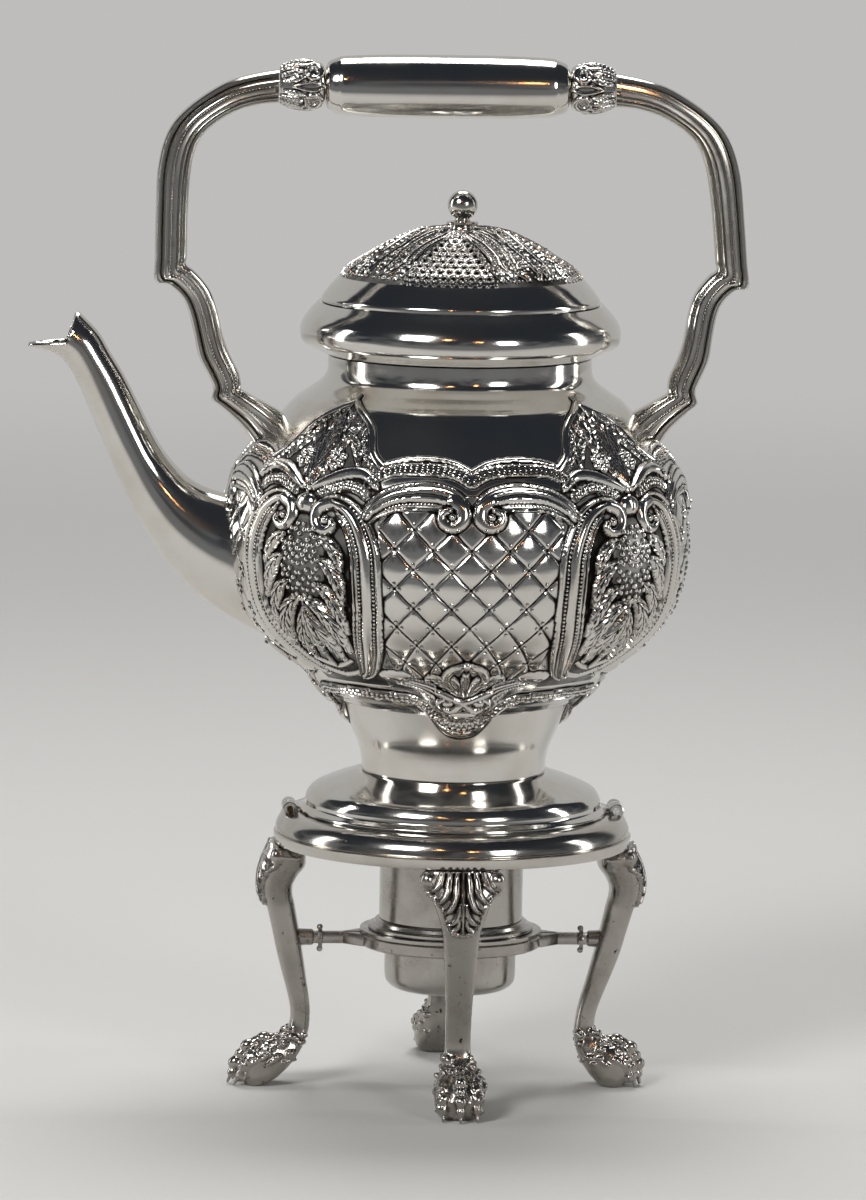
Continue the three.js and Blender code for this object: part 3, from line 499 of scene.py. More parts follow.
@dataclass
class Sheet:
    """A patch of metal that is chased, as a grid of places and the height raised at each.

    Across is measured in millimetres along the girth and up in millimetres of height, and
    the two stretches say how long such a millimetre really is at each place.
    """

    across: Grid
    up: Grid
    stretch_across: Grid
    stretch_up: Grid

    far = 1e9
    reach = (1.6, 1.0)
    thinnest = 0.01
    leaf_edge = 0.35
    spine_groove = (1.4, 0.4)
    hole_floor = 0.55
    cell_wall = (0.14, 0.4)

    def __post_init__(self) -> None:
        """Starts with a bare and bright sheet."""
        self.height = np.zeros_like(self.across)
        self.matt = np.zeros_like(self.across)
        self.dark = np.zeros_like(self.across)
        self.widest = 1 / float(self.stretch_across.min())

    def from_path(self, path: Path) -> tuple[Grid, ...]:
        """Measures the sheet against a path of across, up and half width.

        Args:
            path: The path's points.

        Returns:
            For each place the signed share across the path's width, which is beyond 1 outside,
            the distance along the path in millimetres, and the path's half width there.
        """
        points = np.array(path, float)
        best = np.full(self.across.shape, self.far)
        side = np.full(self.across.shape, self.far)
        along = np.zeros(self.across.shape)
        half = np.ones(self.across.shape)
        walked = 0.0
        reach_mm = points[:, 2].max() * self.reach[0] + self.reach[1]
        for (x0, z0, w0), (x1, z1, w1) in zip(points, points[1:]):
            near = ((self.across > min(x0, x1) - self.widest * reach_mm)
                    & (self.across < max(x0, x1) + self.widest * reach_mm)
                    & (self.up > min(z0, z1) - reach_mm) & (self.up < max(z0, z1) + reach_mm))
            length = math.hypot(x1 - x0, z1 - z0)
            if not near.any() or length == 0:
                walked += length
                continue
            sx, sz = self.stretch_across[near], self.stretch_up[near]
            px, pz = (self.across[near] - x0) * sx, (self.up[near] - z0) * sz
            dx, dz = (x1 - x0) * sx, (z1 - z0) * sz
            t = np.clip((px * dx + pz * dz) / (dx * dx + dz * dz), 0, 1)
            away = np.hypot(px - t * dx, pz - t * dz)
            closer = away < best[near]
            width = w0 + (w1 - w0) * t
            sign = np.sign(dx * pz - dz * px)
            for grid, value in ((best, away), (side, sign * away / np.maximum(width, self.thinnest)),
                                (along, walked + t * length), (half, width)):
                old = grid[near]
                grid[near] = np.where(closer, value, old)
            walked += length
        return side, along, half

    def moulding(self, path: Path, section: Sequence[Point], scale: float = 1.0) -> None:
        """Chases a moulding that replaces what lies under it.

        Args:
            path: Points of across, up and half width.
            section: The moulding's heights from its right edge at -1 to its left one at 1.
            scale: A factor for the heights.
        """
        side, _, _ = self.from_path(rounded_path(path))
        share, tall = np.array(section, float).T
        inside = np.abs(side) <= 1
        self.height[inside] = scale * np.interp(side[inside], share, tall)
        self.matt[inside] = 0

    def rib(self, path: Path, tall: float, base: float | None = None) -> None:
        """Raises a half-round rib over what is there, or over a given height."""
        side, _, _ = self.from_path(rounded_path(path))
        inside = np.abs(side) <= 1
        ground = self.height[inside] if base is None else base
        crown = tall * np.sqrt(np.maximum(1 - side[inside] ** 2, 0))
        self.height[inside] = np.maximum(ground + crown, self.height[inside])
        self.matt[inside] = 0

    def leaf(self, spine: Path, tall: float, veins: float = 0.28, pitch: float = 4.4,
             slant: float = 2.3) -> None:
        """Raises a leaf with a crown that falls to its edges and veins that slant from its spine.

        Args:
            spine: Points of across, up and half width.
            tall: The crown's height.
            veins: Depth of the veins.
            pitch: Distance between two veins along the spine.
            slant: How far a vein runs along the spine while it reaches the edge, in half widths.
        """
        side, along, half = self.from_path(rounded_path(spine))
        inside = np.abs(side) <= 1
        share, walked = np.abs(side[inside]), along[inside]
        wave = np.cos(2 * math.pi * (walked - slant * share * half[inside]) / pitch)
        crown = np.sqrt(np.maximum(1 - share ** 2.5, 0))
        rise = tall * (self.leaf_edge + (1 - self.leaf_edge) * crown)
        rise += veins * wave * np.minimum(share * 3, 1) * (1 - share ** 6)
        deep, wide = self.spine_groove
        rise -= deep * veins * np.exp(-(share * half[inside] / wide) ** 2)
        self.height[inside] = rise
        self.matt[inside] = 0

    def dome(self, centre: Point, radii: Point, tall: float, dished: bool = False) -> None:
        """Raises an oval boss, or sinks a dish of the same outline."""
        dx = (self.across - centre[0]) * self.stretch_across / radii[0]
        dz = (self.up - centre[1]) * self.stretch_up / radii[1]
        away = np.hypot(dx, dz)
        inside = away < 1
        crown = tall * np.sqrt(1 - away[inside] ** 2)
        self.height[inside] = -crown if dished else crown
        self.matt[inside] = 0

    def drill(self, centre: Point, radius: float, deep: float) -> None:
        """Sinks a round hole with soft sides."""
        dx = (self.across - centre[0]) * self.stretch_across
        dz = (self.up - centre[1]) * self.stretch_up
        hole = 1 - smoothed_step(self.hole_floor * radius, radius, np.hypot(dx, dz))
        self.height -= deep * hole
        self.dark = np.maximum(self.dark, hole)

    def honeycomb(self, inside: Grid, pitch: float, tall: float) -> None:
        """Covers a region with pits in staggered rows and raised walls between them."""
        x, z = self.across * self.stretch_across, self.up
        away = np.full(x.shape, pitch)
        row = pitch * math.sqrt(3)
        for shift in (0, 0.5):
            dx = x / pitch + shift - np.rint(x / pitch + shift)
            dz = z / row + shift - np.rint(z / row + shift)
            away = np.minimum(away, np.hypot(dx * pitch, dz * row))
        floor, top = self.cell_wall
        wall = smoothed_step(floor * pitch, top * pitch, away)
        self.height[inside] = tall * (2 * wall[inside] - 1)
        self.matt[inside] = 0
        self.dark[inside] = 1 - wall[inside]

    def blurred(self, cells: int) -> Grid:
        """The heights smoothed over a number of cells each way."""
        soft = self.height.copy()
        for axis in (0, 1):
            for _ in range(cells):
                ahead = np.roll(soft, 1, axis)
                behind = np.roll(soft, -1, axis)
                for grid, edge in ((ahead, 0), (behind, -1)):
                    place = [slice(None), slice(None)]
                    place[axis] = edge
                    grid[tuple(place)] = soft[tuple(place)]
                soft = (ahead + 2 * soft + behind) / 4
        return soft


def rounded_path(path: Path) -> Path:
    """A smooth path through points of across, up and half width."""
    return rounded(path, 5) if len(path) > 2 else list(path)


def smoothed_step(low: float, high: float, value: Grid | float) -> Grid:
    """0 under a low bound, 1 over a high one and a smooth rise between them."""
    share = np.clip((np.asarray(value, float) - low) / (high - low), 0, 1)
    return share * share * (3 - 2 * share)


def scaled(shares: Sequence[Point], radius: float, bottom: float, height: float) -> Outline:
    """An outline from shares of a radius and of a height."""
    return [(radius * out, bottom + height * up) for out, up in shares]


def rail_rings(stations: Sequence[Sequence[float]], section: Sequence[Point]) -> list[list[Vector]]:
    """Rings of a bar between two rails in the XZ plane.

    Args:
        stations: For each ring both rail points and half the width across, as x, z, x, z, half.
        section: Shares from rail to rail and across.

    Returns:
        One closed ring of points for each station.
    """
    rings = []
    for ax, az, bx, bz, half in stations:
        rings.append([Vector(((ax + bx) / 2 + (ax - bx) / 2 * u, half * v, (az + bz) / 2 + (az - bz) / 2 * u))
                      for u, v in section])
    return rings


def round_section(sides: int) -> list[Point]:
    """A circle of half width 1."""
    return [(math.cos(2 * math.pi * i / sides), math.sin(2 * math.pi * i / sides)) for i in range(sides)]


def moved(bm: Mesh, matrix: Matrix) -> Mesh:
    """The mesh itself, transformed, with its faces outwards again after a mirroring."""
    bmesh.ops.transform(bm, matrix=matrix, verts=bm.verts[:])
    if matrix.determinant() < 0:
        bmesh.ops.reverse_faces(bm, faces=bm.faces[:])
    return bm


def about_x(bm: Mesh, height: float, x: float = 0.0) -> Mesh:
    """A turned mesh laid along X at a height."""
    return moved(bm, Matrix.Translation((x, 0, height)) @ Matrix.Rotation(math.pi / 2, 4, "Y"))


def about_y(bm: Mesh, x: float, height: float) -> Mesh:
    """A turned mesh laid along Y at a place of the XZ plane."""
    return moved(bm, Matrix.Translation((x, 0, height)) @ Matrix.Rotation(-math.pi / 2, 4, "X"))


def block(centre: Sequence[float], size: Sequence[float], edge: float) -> Mesh:
    """A box with bevelled edges."""
    bm = bmesh.new()
    bmesh.ops.create_cube(bm, size=1, matrix=Matrix.Translation(centre) @ Matrix.Diagonal((*size, 1)))
    bmesh.ops.bevel(bm, geom=bm.edges[:], offset=edge, segments=2, profile=0.5, affect="EDGES",
                    material=-1)
    return bm


def copy_of(bm: Mesh, matrix: Matrix) -> Mesh:
    """A transformed copy of a mesh."""
    return moved(bm.copy(), matrix)


def quarter(turns: float, more: float = 0.0) -> Matrix:
    """A turn round the kettle's axis by quarters and a few radians more."""
    return Matrix.Rotation(more + turns * math.pi / 2, 4, "Z")


def both_halves(half: Mesh) -> Mesh:
    """A half and its mirror image across X in one mesh."""
    return joined([half, copy_of(half, FLIP_X)])


# Painted shade on a bead: how dark it is at its girth, and how much brighter at its crown
BEAD_SHADE = (0.75, 1.1)


def beads(places: Sequence[tuple[Vector, Vector, float]], sides: int = 6) -> Mesh:
    """Small balls in one mesh, each with painted shade that darkens it from its crown towards the metal that
    it sits on.

    Args:
        places: Each ball's centre, outward direction and radius.
        sides: How many sides go round a ball.

    Returns:
        All balls in one mesh.
    """
    bm = bmesh.new()
    bmesh.ops.create_uvsphere(bm, u_segments=sides, v_segments=sides - 2 + sides % 2, radius=1)
    mesh = bpy.data.meshes.new("beads")
    bm.to_mesh(mesh)
    bm.free()
    shape = np.array([vert.co for vert in mesh.vertices])
    whole = bmesh.new()
    whole.from_mesh(mesh)
    # The mesh doubles until it holds enough balls, which is far quicker than making each one.
    while len(whole.verts) < len(shape) * len(places):
        whole.to_mesh(mesh)
        whole.from_mesh(mesh)
    bmesh.ops.delete(whole, geom=whole.verts[len(shape) * len(places):], context="VERTS")
    whole.to_mesh(mesh)
    whole.clear()
    centres = np.array([centre for centre, _, _ in places])
    turns = np.array([outward.to_track_quat("Z", "Y").to_matrix() for _, outward, _ in places])
    radii = np.array([radius for _, _, radius in places])
    spots = np.einsum("nij,vj->nvi", turns, shape) * radii[:, None, None] + centres[:, None]
    mesh.vertices.foreach_set("co", spots.ravel())
    shade, fall = BEAD_SHADE
    # The bead's painted shade goes into the same attribute as the tarnish in hollows.
    write_attribute(mesh, "tarnish_and_shade", np.tile(np.clip(shade - fall * shape[:, 2], 0, 1), len(places)))
    whole.from_mesh(mesh)
    bpy.data.meshes.remove(mesh)
    return whole


def read_array(items: bpy.types.bpy_prop_collection, key: str, wide: int, kind: type = float) -> Grid:
    """One property of all items of a mesh, a row of numbers for each."""
    flat = np.empty(len(items) * wide, kind)
    items.foreach_get(key, flat)
    return flat.reshape(-1, wide)


def settle_recess(piece: bpy.types.Object, depth: float, rounds: int = 12) -> None:
    """Notes for each vertex how deep it lies among its neighbours, for the tarnish.

    Args:
        piece: The piece.
        depth: The hollow in millimetres that counts as fully deep.
        rounds: How often places are averaged with their neighbours.
    """
    mesh = piece.data
    count = len(mesh.vertices)
    places = read_array(mesh.vertices, "co", 3)
    normals = read_array(mesh.vertices, "normal", 3)
    ends = read_array(mesh.edges, "vertices", 2, int)
    links = np.maximum(np.bincount(ends.ravel(), minlength=count), 1)
    soft = places.copy()
    for _ in range(rounds):
        total = np.zeros_like(soft)
        for axis in range(3):
            total[:, axis] = (np.bincount(ends[:, 0], soft[ends[:, 1], axis], count)
                              + np.bincount(ends[:, 1], soft[ends[:, 0], axis], count))
        soft = (soft + total / links[:, None]) / 2
    lying = ((soft - places) * normals).sum(1) / (depth * MM)
    write_attribute(mesh, "tarnish_and_shade", np.clip(lying, 0, 1))


def write_attribute(mesh: bpy.types.Mesh, name: str, values: Grid) -> None:
    """Writes one float for each vertex under a name."""
    layer = mesh.attributes.get(name) or mesh.attributes.new(name, "FLOAT", "POINT")
    layer.data.foreach_set("value", np.asarray(values, np.float32).ravel())


# The kettle

BODY_SHARES = [
    (0.395, 0), (0.4, 0.035), (0.415, 0.066), (0.438, 0.096), (0.494, 0.169), (0.512, 0.176),
    (0.566, 0.205), (0.635, 0.247), (0.71, 0.278), (0.802, 0.315), (0.891, 0.363), (0.948, 0.412),
    (0.985, 0.48), (1, 0.555), (0.991, 0.63), (0.966, 0.695), (0.924, 0.75), (0.847, 0.802),
    (0.719, 0.886), (0.658, 0.912), (0.598, 0.936), (0.569, 0.96), (0.565, 1),
]


@dataclass
class Belly:
    """The chased belly: a half of a panel is drawn once, mirrored, and laid round four times."""

    radius: float = 86.0
    bottom: float = 118.9
    height: float = 154.1
    chased_from: float = 131.0
    chased_to: float = 262.0
    drawn_steps: float = 46.5
    columns: int = 132
    rows: int = 350
    samples: int = 2000
    sunk: float = 0.8
    sunk_low: Point = (150.0, 166.0)
    sunk_high: Point = (222.0, 233.0)
    probe: float = 0.4

    def __post_init__(self) -> None:
        """Works out the outline by height and the length of one drawn step across."""
        self.outline = np.array(rounded(scaled(BODY_SHARES, self.radius, self.bottom, self.height)))
        self.step = math.pi * self.radius / 4 / self.drawn_steps
        grid_z = np.linspace(self.chased_from, self.chased_to, self.samples)
        slope = np.gradient(self.plain_radius(grid_z), grid_z)
        arc = np.concatenate([[0], np.cumsum(np.hypot(1, slope[1:]) * np.diff(grid_z))])
        self.row_z = np.interp(np.linspace(0, arc[-1], self.rows), arc, grid_z)

    def plain_radius(self, z: Grid) -> Grid:
        """The outline's radius at a height."""
        return np.interp(z, self.outline[:, 1], self.outline[:, 0])

    def ground_radius(self, z: Grid) -> Grid:
        """The radius of the ground from which ornament rises."""
        sunk = self.sunk * smoothed_step(*self.sunk_low, z) * (1 - smoothed_step(*self.sunk_high, z))
        return self.plain_radius(z) - sunk

    def slope(self, z: Grid) -> Grid:
        """How fast the ground's radius grows with height."""
        rise = self.ground_radius(z + self.probe) - self.ground_radius(z - self.probe)
        return rise / (2 * self.probe)

    def surface(self, across: Grid, z: Grid, lift: Grid) -> Grid:
        """Points over the ground.

        Args:
            across: Millimetres along the girth from the panel's middle.
            z: Heights.
            lift: How far the points stand out along the ground's normal.

        Returns:
            The points, in the last axis.
        """
        slope = self.slope(z)
        length = np.hypot(1, slope)
        r = self.ground_radius(z) + lift / length
        angle = across / self.radius
        return np.stack([r * np.sin(angle), -r * np.cos(angle), z - lift * slope / length], axis=-1)

    def sheet(self) -> Sheet:
        """The bare half panel."""
        across, up = np.meshgrid(np.linspace(0, math.pi * self.radius / 4, self.columns), self.row_z)
        return Sheet(across, up, self.ground_radius(up) / self.radius, np.hypot(1, self.slope(up)))

    def drawn(self, *points: Sequence[float]) -> Path:
        """Points drawn in steps across as points in millimetres across."""
        return [(point[0] * self.step, *point[1:]) for point in points]

    def build(self, finishes: Finishes) -> None:
        """Makes the four panels and the beads on them."""
        sheet = self.sheet()
        ornament = BellyOrnament(sheet, belly=self)
        ornament.chase()
        panel = mirrored(sheet_mesh(sheet, self.surface(sheet.across, sheet.up, sheet.height), 0.5))
        sides = {"front": 0, "right": 1, "rear": 2, "left": 3}
        for name, turn in sides.items():
            finished(outwards(copy_of(panel, quarter(turn))), "belly_" + name, Body.KETTLE,
                     finishes.chased, ["kettle_body", "kettle_waist", "kettle_neck"])
        panel.free()
        halves = both_halves(beads(bead_places(sheet, self.surface, ornament.beads)))
        for name, turns in (("front", (0, 1)), ("rear", (2, 3))):
            finished(joined(copy_of(halves, quarter(turn)) for turn in turns), "belly_beads_" + name,
                     Body.KETTLE, finishes.chased)
        halves.free()


# How many cells the wide and the near hollows are judged over, and how deep near ones and matt ground count
WIDE_CELLS, NEAR_CELLS = 14, 3
NEAR_SHARE, MATT_SHARE = 0.3, 0.7


def sheet_mesh(sheet: Sheet, points: Grid, depth: float) -> bpy.types.Mesh:
    """The mesh of a chased sheet, with its recesses and its matted ground noted at each vertex.

    Args:
        sheet: The sheet.
        points: Its places in space.
        depth: The hollow in millimetres that counts as fully deep.

    Returns:
        The mesh.
    """
    rows, columns = sheet.height.shape
    bm = bmesh.new()
    bmesh.ops.create_grid(bm, x_segments=columns - 1, y_segments=rows - 1, size=1)
    mesh = bpy.data.meshes.new("sheet")
    bm.to_mesh(mesh)
    bm.free()
    flat = read_array(mesh.vertices, "co", 3)
    column = np.rint((flat[:, 0] + 1) / 2 * (columns - 1)).astype(int)
    row = np.rint((flat[:, 1] + 1) / 2 * (rows - 1)).astype(int)
    mesh.vertices.foreach_set("co", points[row, column].ravel())
    wide = (sheet.blurred(WIDE_CELLS) - sheet.height) / depth
    near = (sheet.blurred(NEAR_CELLS) - sheet.height) / (NEAR_SHARE * depth)
    hollow = np.clip(np.maximum(wide, near), 0, 1)
    hollow = np.maximum(hollow, np.maximum(MATT_SHARE * sheet.matt, sheet.dark))
    write_attribute(mesh, "tarnish_and_shade", hollow[row, column])
    return mesh


def mirrored(half: bpy.types.Mesh) -> Mesh:
    """A half panel and its mirror image across X in one mesh."""
    panel = bmesh.new()
    panel.from_mesh(half)
    bmesh.ops.mirror(panel, geom=panel.verts[:] + panel.edges[:] + panel.faces[:], axis="X",
                     merge_dist=WELD)
    return facing_out(panel)


def lift_between(sheet: Sheet, across: Grid, up: Grid) -> Grid:
    """The sheet's height at places between its grid's points."""
    rows, columns = sheet.height.shape
    column = np.clip(np.interp(across, sheet.across[0], np.arange(columns)), 0, columns - 1.001)
    row = np.clip(np.interp(up, sheet.up[:, 0], np.arange(rows)), 0, rows - 1.001)
    i, j = row.astype(int), column.astype(int)
    a, b = row - i, column - j
    tall = sheet.height
    return ((1 - a) * ((1 - b) * tall[i, j] + b * tall[i, j + 1])
            + a * ((1 - b) * tall[i + 1, j] + b * tall[i + 1, j + 1]))


def bead_places(sheet: Sheet, surface: Callable[[Grid, Grid, Grid], Grid], wanted: Path,
                proud: float = 0.15) -> list[tuple[Vector, Vector, float]]:
    """Where beads that are half sunk in a sheet lie in space.

    Args:
        sheet: The chased sheet.
        surface: Gives the points in space for places across, places up and lifts.
        wanted: Each bead's place across, place up and radius.
        proud: How far a bead's centre stands over the sheet, as a share of its radius.

    Returns:
        Centres, outward directions and radii.
    """
    across, up, radius = np.array(wanted).T
    lift = lift_between(sheet, across, up)
    low = surface(across, up, lift + proud * radius)
    out = surface(across, up, lift + proud * radius + 1) - low
    return [(Vector(place), Vector(way), float(r)) for place, way, r in zip(low, out, radius)]


@dataclass
class TurnedPatch:
    """A chased patch on a turned surface, drawn once and laid round it in mirrored copies.

    Up is measured by marks along the outline, and across in millimetres along the widest girth.
    """

    outline: Outline
    marks: Sequence[float]
    half_turn: float
    columns: int
    rows: int

    def __post_init__(self) -> None:
        """Works out the outline's outward direction and lays the bare sheet."""
        self.flat = np.array(self.outline, float)
        run = np.gradient(self.flat, axis=0)
        length = np.linalg.norm(run, axis=1)
        self.away = np.stack([run[:, 1], -run[:, 0]], axis=1) / length[:, None]
        self.girth = float(self.flat[:, 0].max())
        pace = length / np.gradient(np.array(self.marks, float))
        across, up = np.meshgrid(np.linspace(0, self.half_turn * self.girth, self.columns),
                                 np.linspace(self.marks[0], self.marks[-1], self.rows))
        self.sheet = Sheet(across, up, self.read(up, self.flat[:, 0]) / self.girth, self.read(up, pace))

    def read(self, up: Grid, values: Grid) -> Grid:
        """Values given at the marks, read between them."""
        return np.interp(up, self.marks, values)

    def surface(self, across: Grid, up: Grid, lift: Grid) -> Grid:
        """Points over the outline, with their lift along its normal."""
        r = self.read(up, self.flat[:, 0]) + lift * self.read(up, self.away[:, 0])
        z = self.read(up, self.flat[:, 1]) + lift * self.read(up, self.away[:, 1])
        angle = across / self.girth
        return np.stack([r * np.sin(angle), -r * np.cos(angle), z], axis=-1)

    def panel(self, depth: float) -> Mesh:
        """The chased half and its mirror image."""
        points = self.surface(self.sheet.across, self.sheet.up, self.sheet.height)
        return mirrored(sheet_mesh(self.sheet, points, depth))


@dataclass
class Ornament:
    """Chasing on a sheet, and the beads that are set on it."""

    sheet: Sheet
    seed: int = 7
    tries: int = 26
    uneven: Point = (0.9, 1.08)

    def __post_init__(self) -> None:
        """Starts without beads and with the same chance every time."""
        self.beads: list[tuple[float, float, float]] = []
        self.chance = random.Random(self.seed)

    def row_of_beads(self, path: Path, offset: float, pitch: float, radius: float,
                     jitter: float = 0.0, part: Point = (0, 1)) -> None:
        """Sets beads along a path.

        Args:
            path: Points of across, up and half width in millimetres.
            offset: Distance to the path's left, as a share of its half width.
            pitch: Distance from bead to bead.
            radius: The beads' radius.
            jitter: How far a bead may stray.
            part: The part of the path that bears beads, as shares of its length.
        """
        points = np.array(rounded_path(path))
        wide = np.interp(points[:, 1], self.sheet.up[:, 0], self.sheet.stretch_across[:, 0])
        high = np.interp(points[:, 1], self.sheet.up[:, 0], self.sheet.stretch_up[:, 0])
        run = np.hypot(np.diff(points[:, 0]) * (wide[1:] + wide[:-1]) / 2,
                       np.diff(points[:, 1]) * (high[1:] + high[:-1]) / 2)
        walked = np.concatenate([[0], np.cumsum(run)])
        for place in np.arange(part[0] * walked[-1] + pitch / 2, part[1] * walked[-1], pitch):
            i = min(int(np.searchsorted(walked, place)), len(points) - 1)
            x, z, half, sx, sz = (float(np.interp(place, walked, values)) for values in (
                points[:, 0], points[:, 1], points[:, 2], wide, high))
            dx = (points[i, 0] - points[i - 1, 0]) * sx
            dz = (points[i, 1] - points[i - 1, 1]) * sz
            length = math.hypot(dx, dz) or 1
            x += (-dz / length * offset * half + self.chance.uniform(-jitter, jitter)) / sx
            z += (dx / length * offset * half + self.chance.uniform(-jitter, jitter)) / sz
            if 0.3 * radius < x < self.sheet.across[0, -1] - 0.2 * radius:
                self.beads.append((x, z, radius * self.chance.uniform(*self.uneven)))

    def filled(self, polygon: Path, pitch: float, radius: float, spread: float = 0.14) -> None:
        """Fills an outline with beads thrown at chance, none nearer to another than a pitch."""
        corners = np.array(polygon)
        low, high = corners.min(0), corners.max(0)
        edge = float(self.sheet.across[0, -1])
        kept = np.empty((0, 2))
        for _ in range(int(self.tries * (high[0] - low[0]) * (high[1] - low[1]) / pitch ** 2)):
            x, z = self.chance.uniform(low[0], high[0]), self.chance.uniform(low[1], high[1])
            if not contains(corners, x, z):
                continue
            wide = float(np.interp(z, self.sheet.up[:, 0], self.sheet.stretch_across[:, 0]))
            if len(kept) and np.hypot((kept[:, 0] - x) * wide, kept[:, 1] - z).min() < pitch:
                continue
            kept = np.vstack([kept, (x, z)])
            self.beads.append((min(x, edge), z, radius * self.chance.uniform(1 - spread, 1 + spread)))


def outwards(bm: Mesh) -> Mesh:
    """The mesh itself, with its faces turned away from the kettle's axis."""
    facing = sum(face.normal.x * face.calc_center_median().x + face.normal.y * face.calc_center_median().y
                 + face.normal.z * 0.01 for face in bm.faces)
    if facing < 0:
        bmesh.ops.reverse_faces(bm, faces=bm.faces[:])
    return bm


def upwards(bm: Mesh) -> Mesh:
    """The mesh itself, with its faces turned up."""
    if sum(face.normal.z for face in bm.faces) < 0:
        bmesh.ops.reverse_faces(bm, faces=bm.faces[:])
    return bm


@dataclass(kw_only=True)
class BellyOrnament(Ornament):
    """What is chased on a half panel of the belly."""

    belly: Belly
    pitch: float = 1.45
    pearl: float = 0.62
    granule: float = 0.92
    berry: float = 1.0
    diamond: Point = (14.2, 14.4)
    diamond_middle: float = 196.5
    diamond_across: float = 24.0
    panel_up: Point = (157.0, 230.0)
    quilt: float = 0.62
    groove: float = 0.34
    groove_width: float = 0.5
    groove_share: float = 0.72
    quilt_fade: float = 7.0
    prick: float = 0.76
    prick_ring = ((2, 0), (-2, 0), (0, 2.1), (0, -2.1))
    prick_across: Point = (0.2, 22.5)
    prick_up: Point = (166.0, 223.0)
    leaf_from: float = 30.0
    side_up: Point = (157.0, 226.0)
    side_sunk: float = 0.2
    swell_radii: Point = (11.0, 17.0)
    swell_up: float = 204.0
    swell_rise: float = 1.5
    middle: float = 46.5

    scroll_section = [
        (-1, 0), (-0.97, 0.9), (-0.91, 1.5), (-0.85, 1.5), (-0.79, 0.9), (-0.73, 0.9), (-0.67, 1.45),
        (-0.61, 1.45), (-0.56, 1.0), (-0.34, 1.0), (-0.28, 1.5), (-0.14, 2.1), (0, 2.25), (0.14, 2.1),
        (0.28, 1.5), (0.34, 1.0), (0.58, 1.0), (0.63, 1.3), (0.72, 1.8), (0.84, 1.8), (0.93, 1.2), (1, 0),
    ]
    arch_section = [
        (-1, 0), (-0.96, 0.9), (-0.85, 1.3), (-0.72, 0.9), (-0.66, 0.8), (-0.6, 1.1), (-0.4, 1.8),
        (-0.2, 1.5), (-0.12, 1.2), (-0.04, 1.5), (0.14, 2.0), (0.34, 1.4), (0.42, 0.7), (0.76, 0.7),
        (0.82, 1.0), (0.9, 1.4), (0.97, 0.9), (1, 0),
    ]
    frame_path = [
        (37.5, 161.5, 2.2), (34.5, 163.5, 3.6), (31.5, 168, 4.8), (29.2, 174, 5.7), (27.6, 182, 6),
        (26.9, 190, 6), (26.9, 200, 6), (27.3, 208, 6), (28.9, 215, 5.6), (31.5, 221, 5.1),
        (35, 224.5, 4.2), (38.5, 225.5, 3.2), (41.5, 223.5, 2.6),
    ]
    arch_path = [
        (27.5, 221.5, 2.6), (25, 225.3, 4), (20, 228.8, 4.8), (14, 230, 5.4), (9, 229.8, 5.3),
        (5, 228.3, 4.6), (2.8, 226, 3.4),
    ]
    upper_band = [
        (0, 235.3, 2.7), (4, 238, 2.7), (10, 238.9, 2.7), (16, 238.9, 2.7), (22, 238.3, 2.5),
        (26, 236, 2.1), (28.5, 233, 1.6),
    ]
    side_band = [(28.5, 229.5, 2), (31, 231.5, 2), (35, 232, 2), (38.5, 231, 2), (42, 229, 1.6)]
    lower_band = [
        (0, 142, 2.5), (5, 142.3, 2.5), (9, 143.8, 2.5), (13, 147.2, 2.5), (17, 151, 2.4),
        (22, 153, 2.3), (30, 153.3, 2.3), (46.5, 153.8, 2.3),
    ]
    cluster = [(41, 216), (46.5, 219), (46.5, 189.5), (44, 190.5), (41, 195), (40, 205)]

    def path(self, *points: tuple[float, ...]) -> Path:
        """A path in millimetres from one drawn in steps."""
        return self.belly.drawn(*points)

    def chase(self) -> None:
        """Chases everything in order, from the ground up."""
        self.apron()
        self.diamonds()
        self.side_panel()
        self.shoulder()
        self.bands()
        self.frame_scroll()
        self.top_scroll()
        self.cartouche()

    def apron(self) -> None:
        """Raises the belly's scalloped lower edge over the plain cone."""
        edge = np.array(rounded(self.path((0, 138.6), (6, 139.4), (10, 141), (14, 144.4), (18.5, 148.9),
                                          (24, 150.4), (46.5, 150.8))))
        rise = np.array(self.path((0, 2.6), (14, 1.8), (24, 0.9), (46.5, 0.7)))
        level_at = np.interp(self.sheet.across, edge[:, 0], edge[:, 1])
        tall = np.interp(self.sheet.across, rise[:, 0], rise[:, 1])
        over = np.sqrt(smoothed_step(-2.6, 1.2, self.sheet.up - level_at))
        fade = 1 - smoothed_step(6, 20, self.sheet.up - level_at)
        self.sheet.height += tall * over * fade

    def diamonds(self) -> None:
        """Chases the quilted middle panel, with four pricks round each crossing."""
        sheet = self.sheet
        wide, tall = self.diamond
        low, high = self.panel_up
        inside = (sheet.across < self.diamond_across * self.belly.step) & (sheet.up > low) & (sheet.up < high)
        u = sheet.across / wide + (sheet.up - self.diamond_middle) / tall
        v = sheet.across / wide - (sheet.up - self.diamond_middle) / tall
        crown = self.quilt * np.sqrt(np.clip(np.sin(math.pi * (u % 1)) * np.sin(math.pi * (v % 1)), 0, 1))
        reach = wide * self.groove_share
        lines = sum(np.exp(-(np.abs(line - np.rint(line)) * reach / self.groove_width) ** 2)
                    for line in (u, v))
        groove = self.groove * lines
        blend = smoothed_step(low, low + self.quilt_fade, sheet.up) * inside
        sheet.height = sheet.height * (1 - blend) + (crown - groove) * blend
        (near, far), (lowest, highest) = self.prick_across, self.prick_up
        for i, j in itertools.product(range(-9, 10), repeat=2):
            x, z = (i + j) * wide / 2, self.diamond_middle + (i - j) * tall / 2
            for dx, dz in self.prick_ring:
                if near < x + dx < far * self.belly.step and lowest < z + dz < highest and x > -1:
                    self.beads.append((x + dx, z + dz, self.prick))

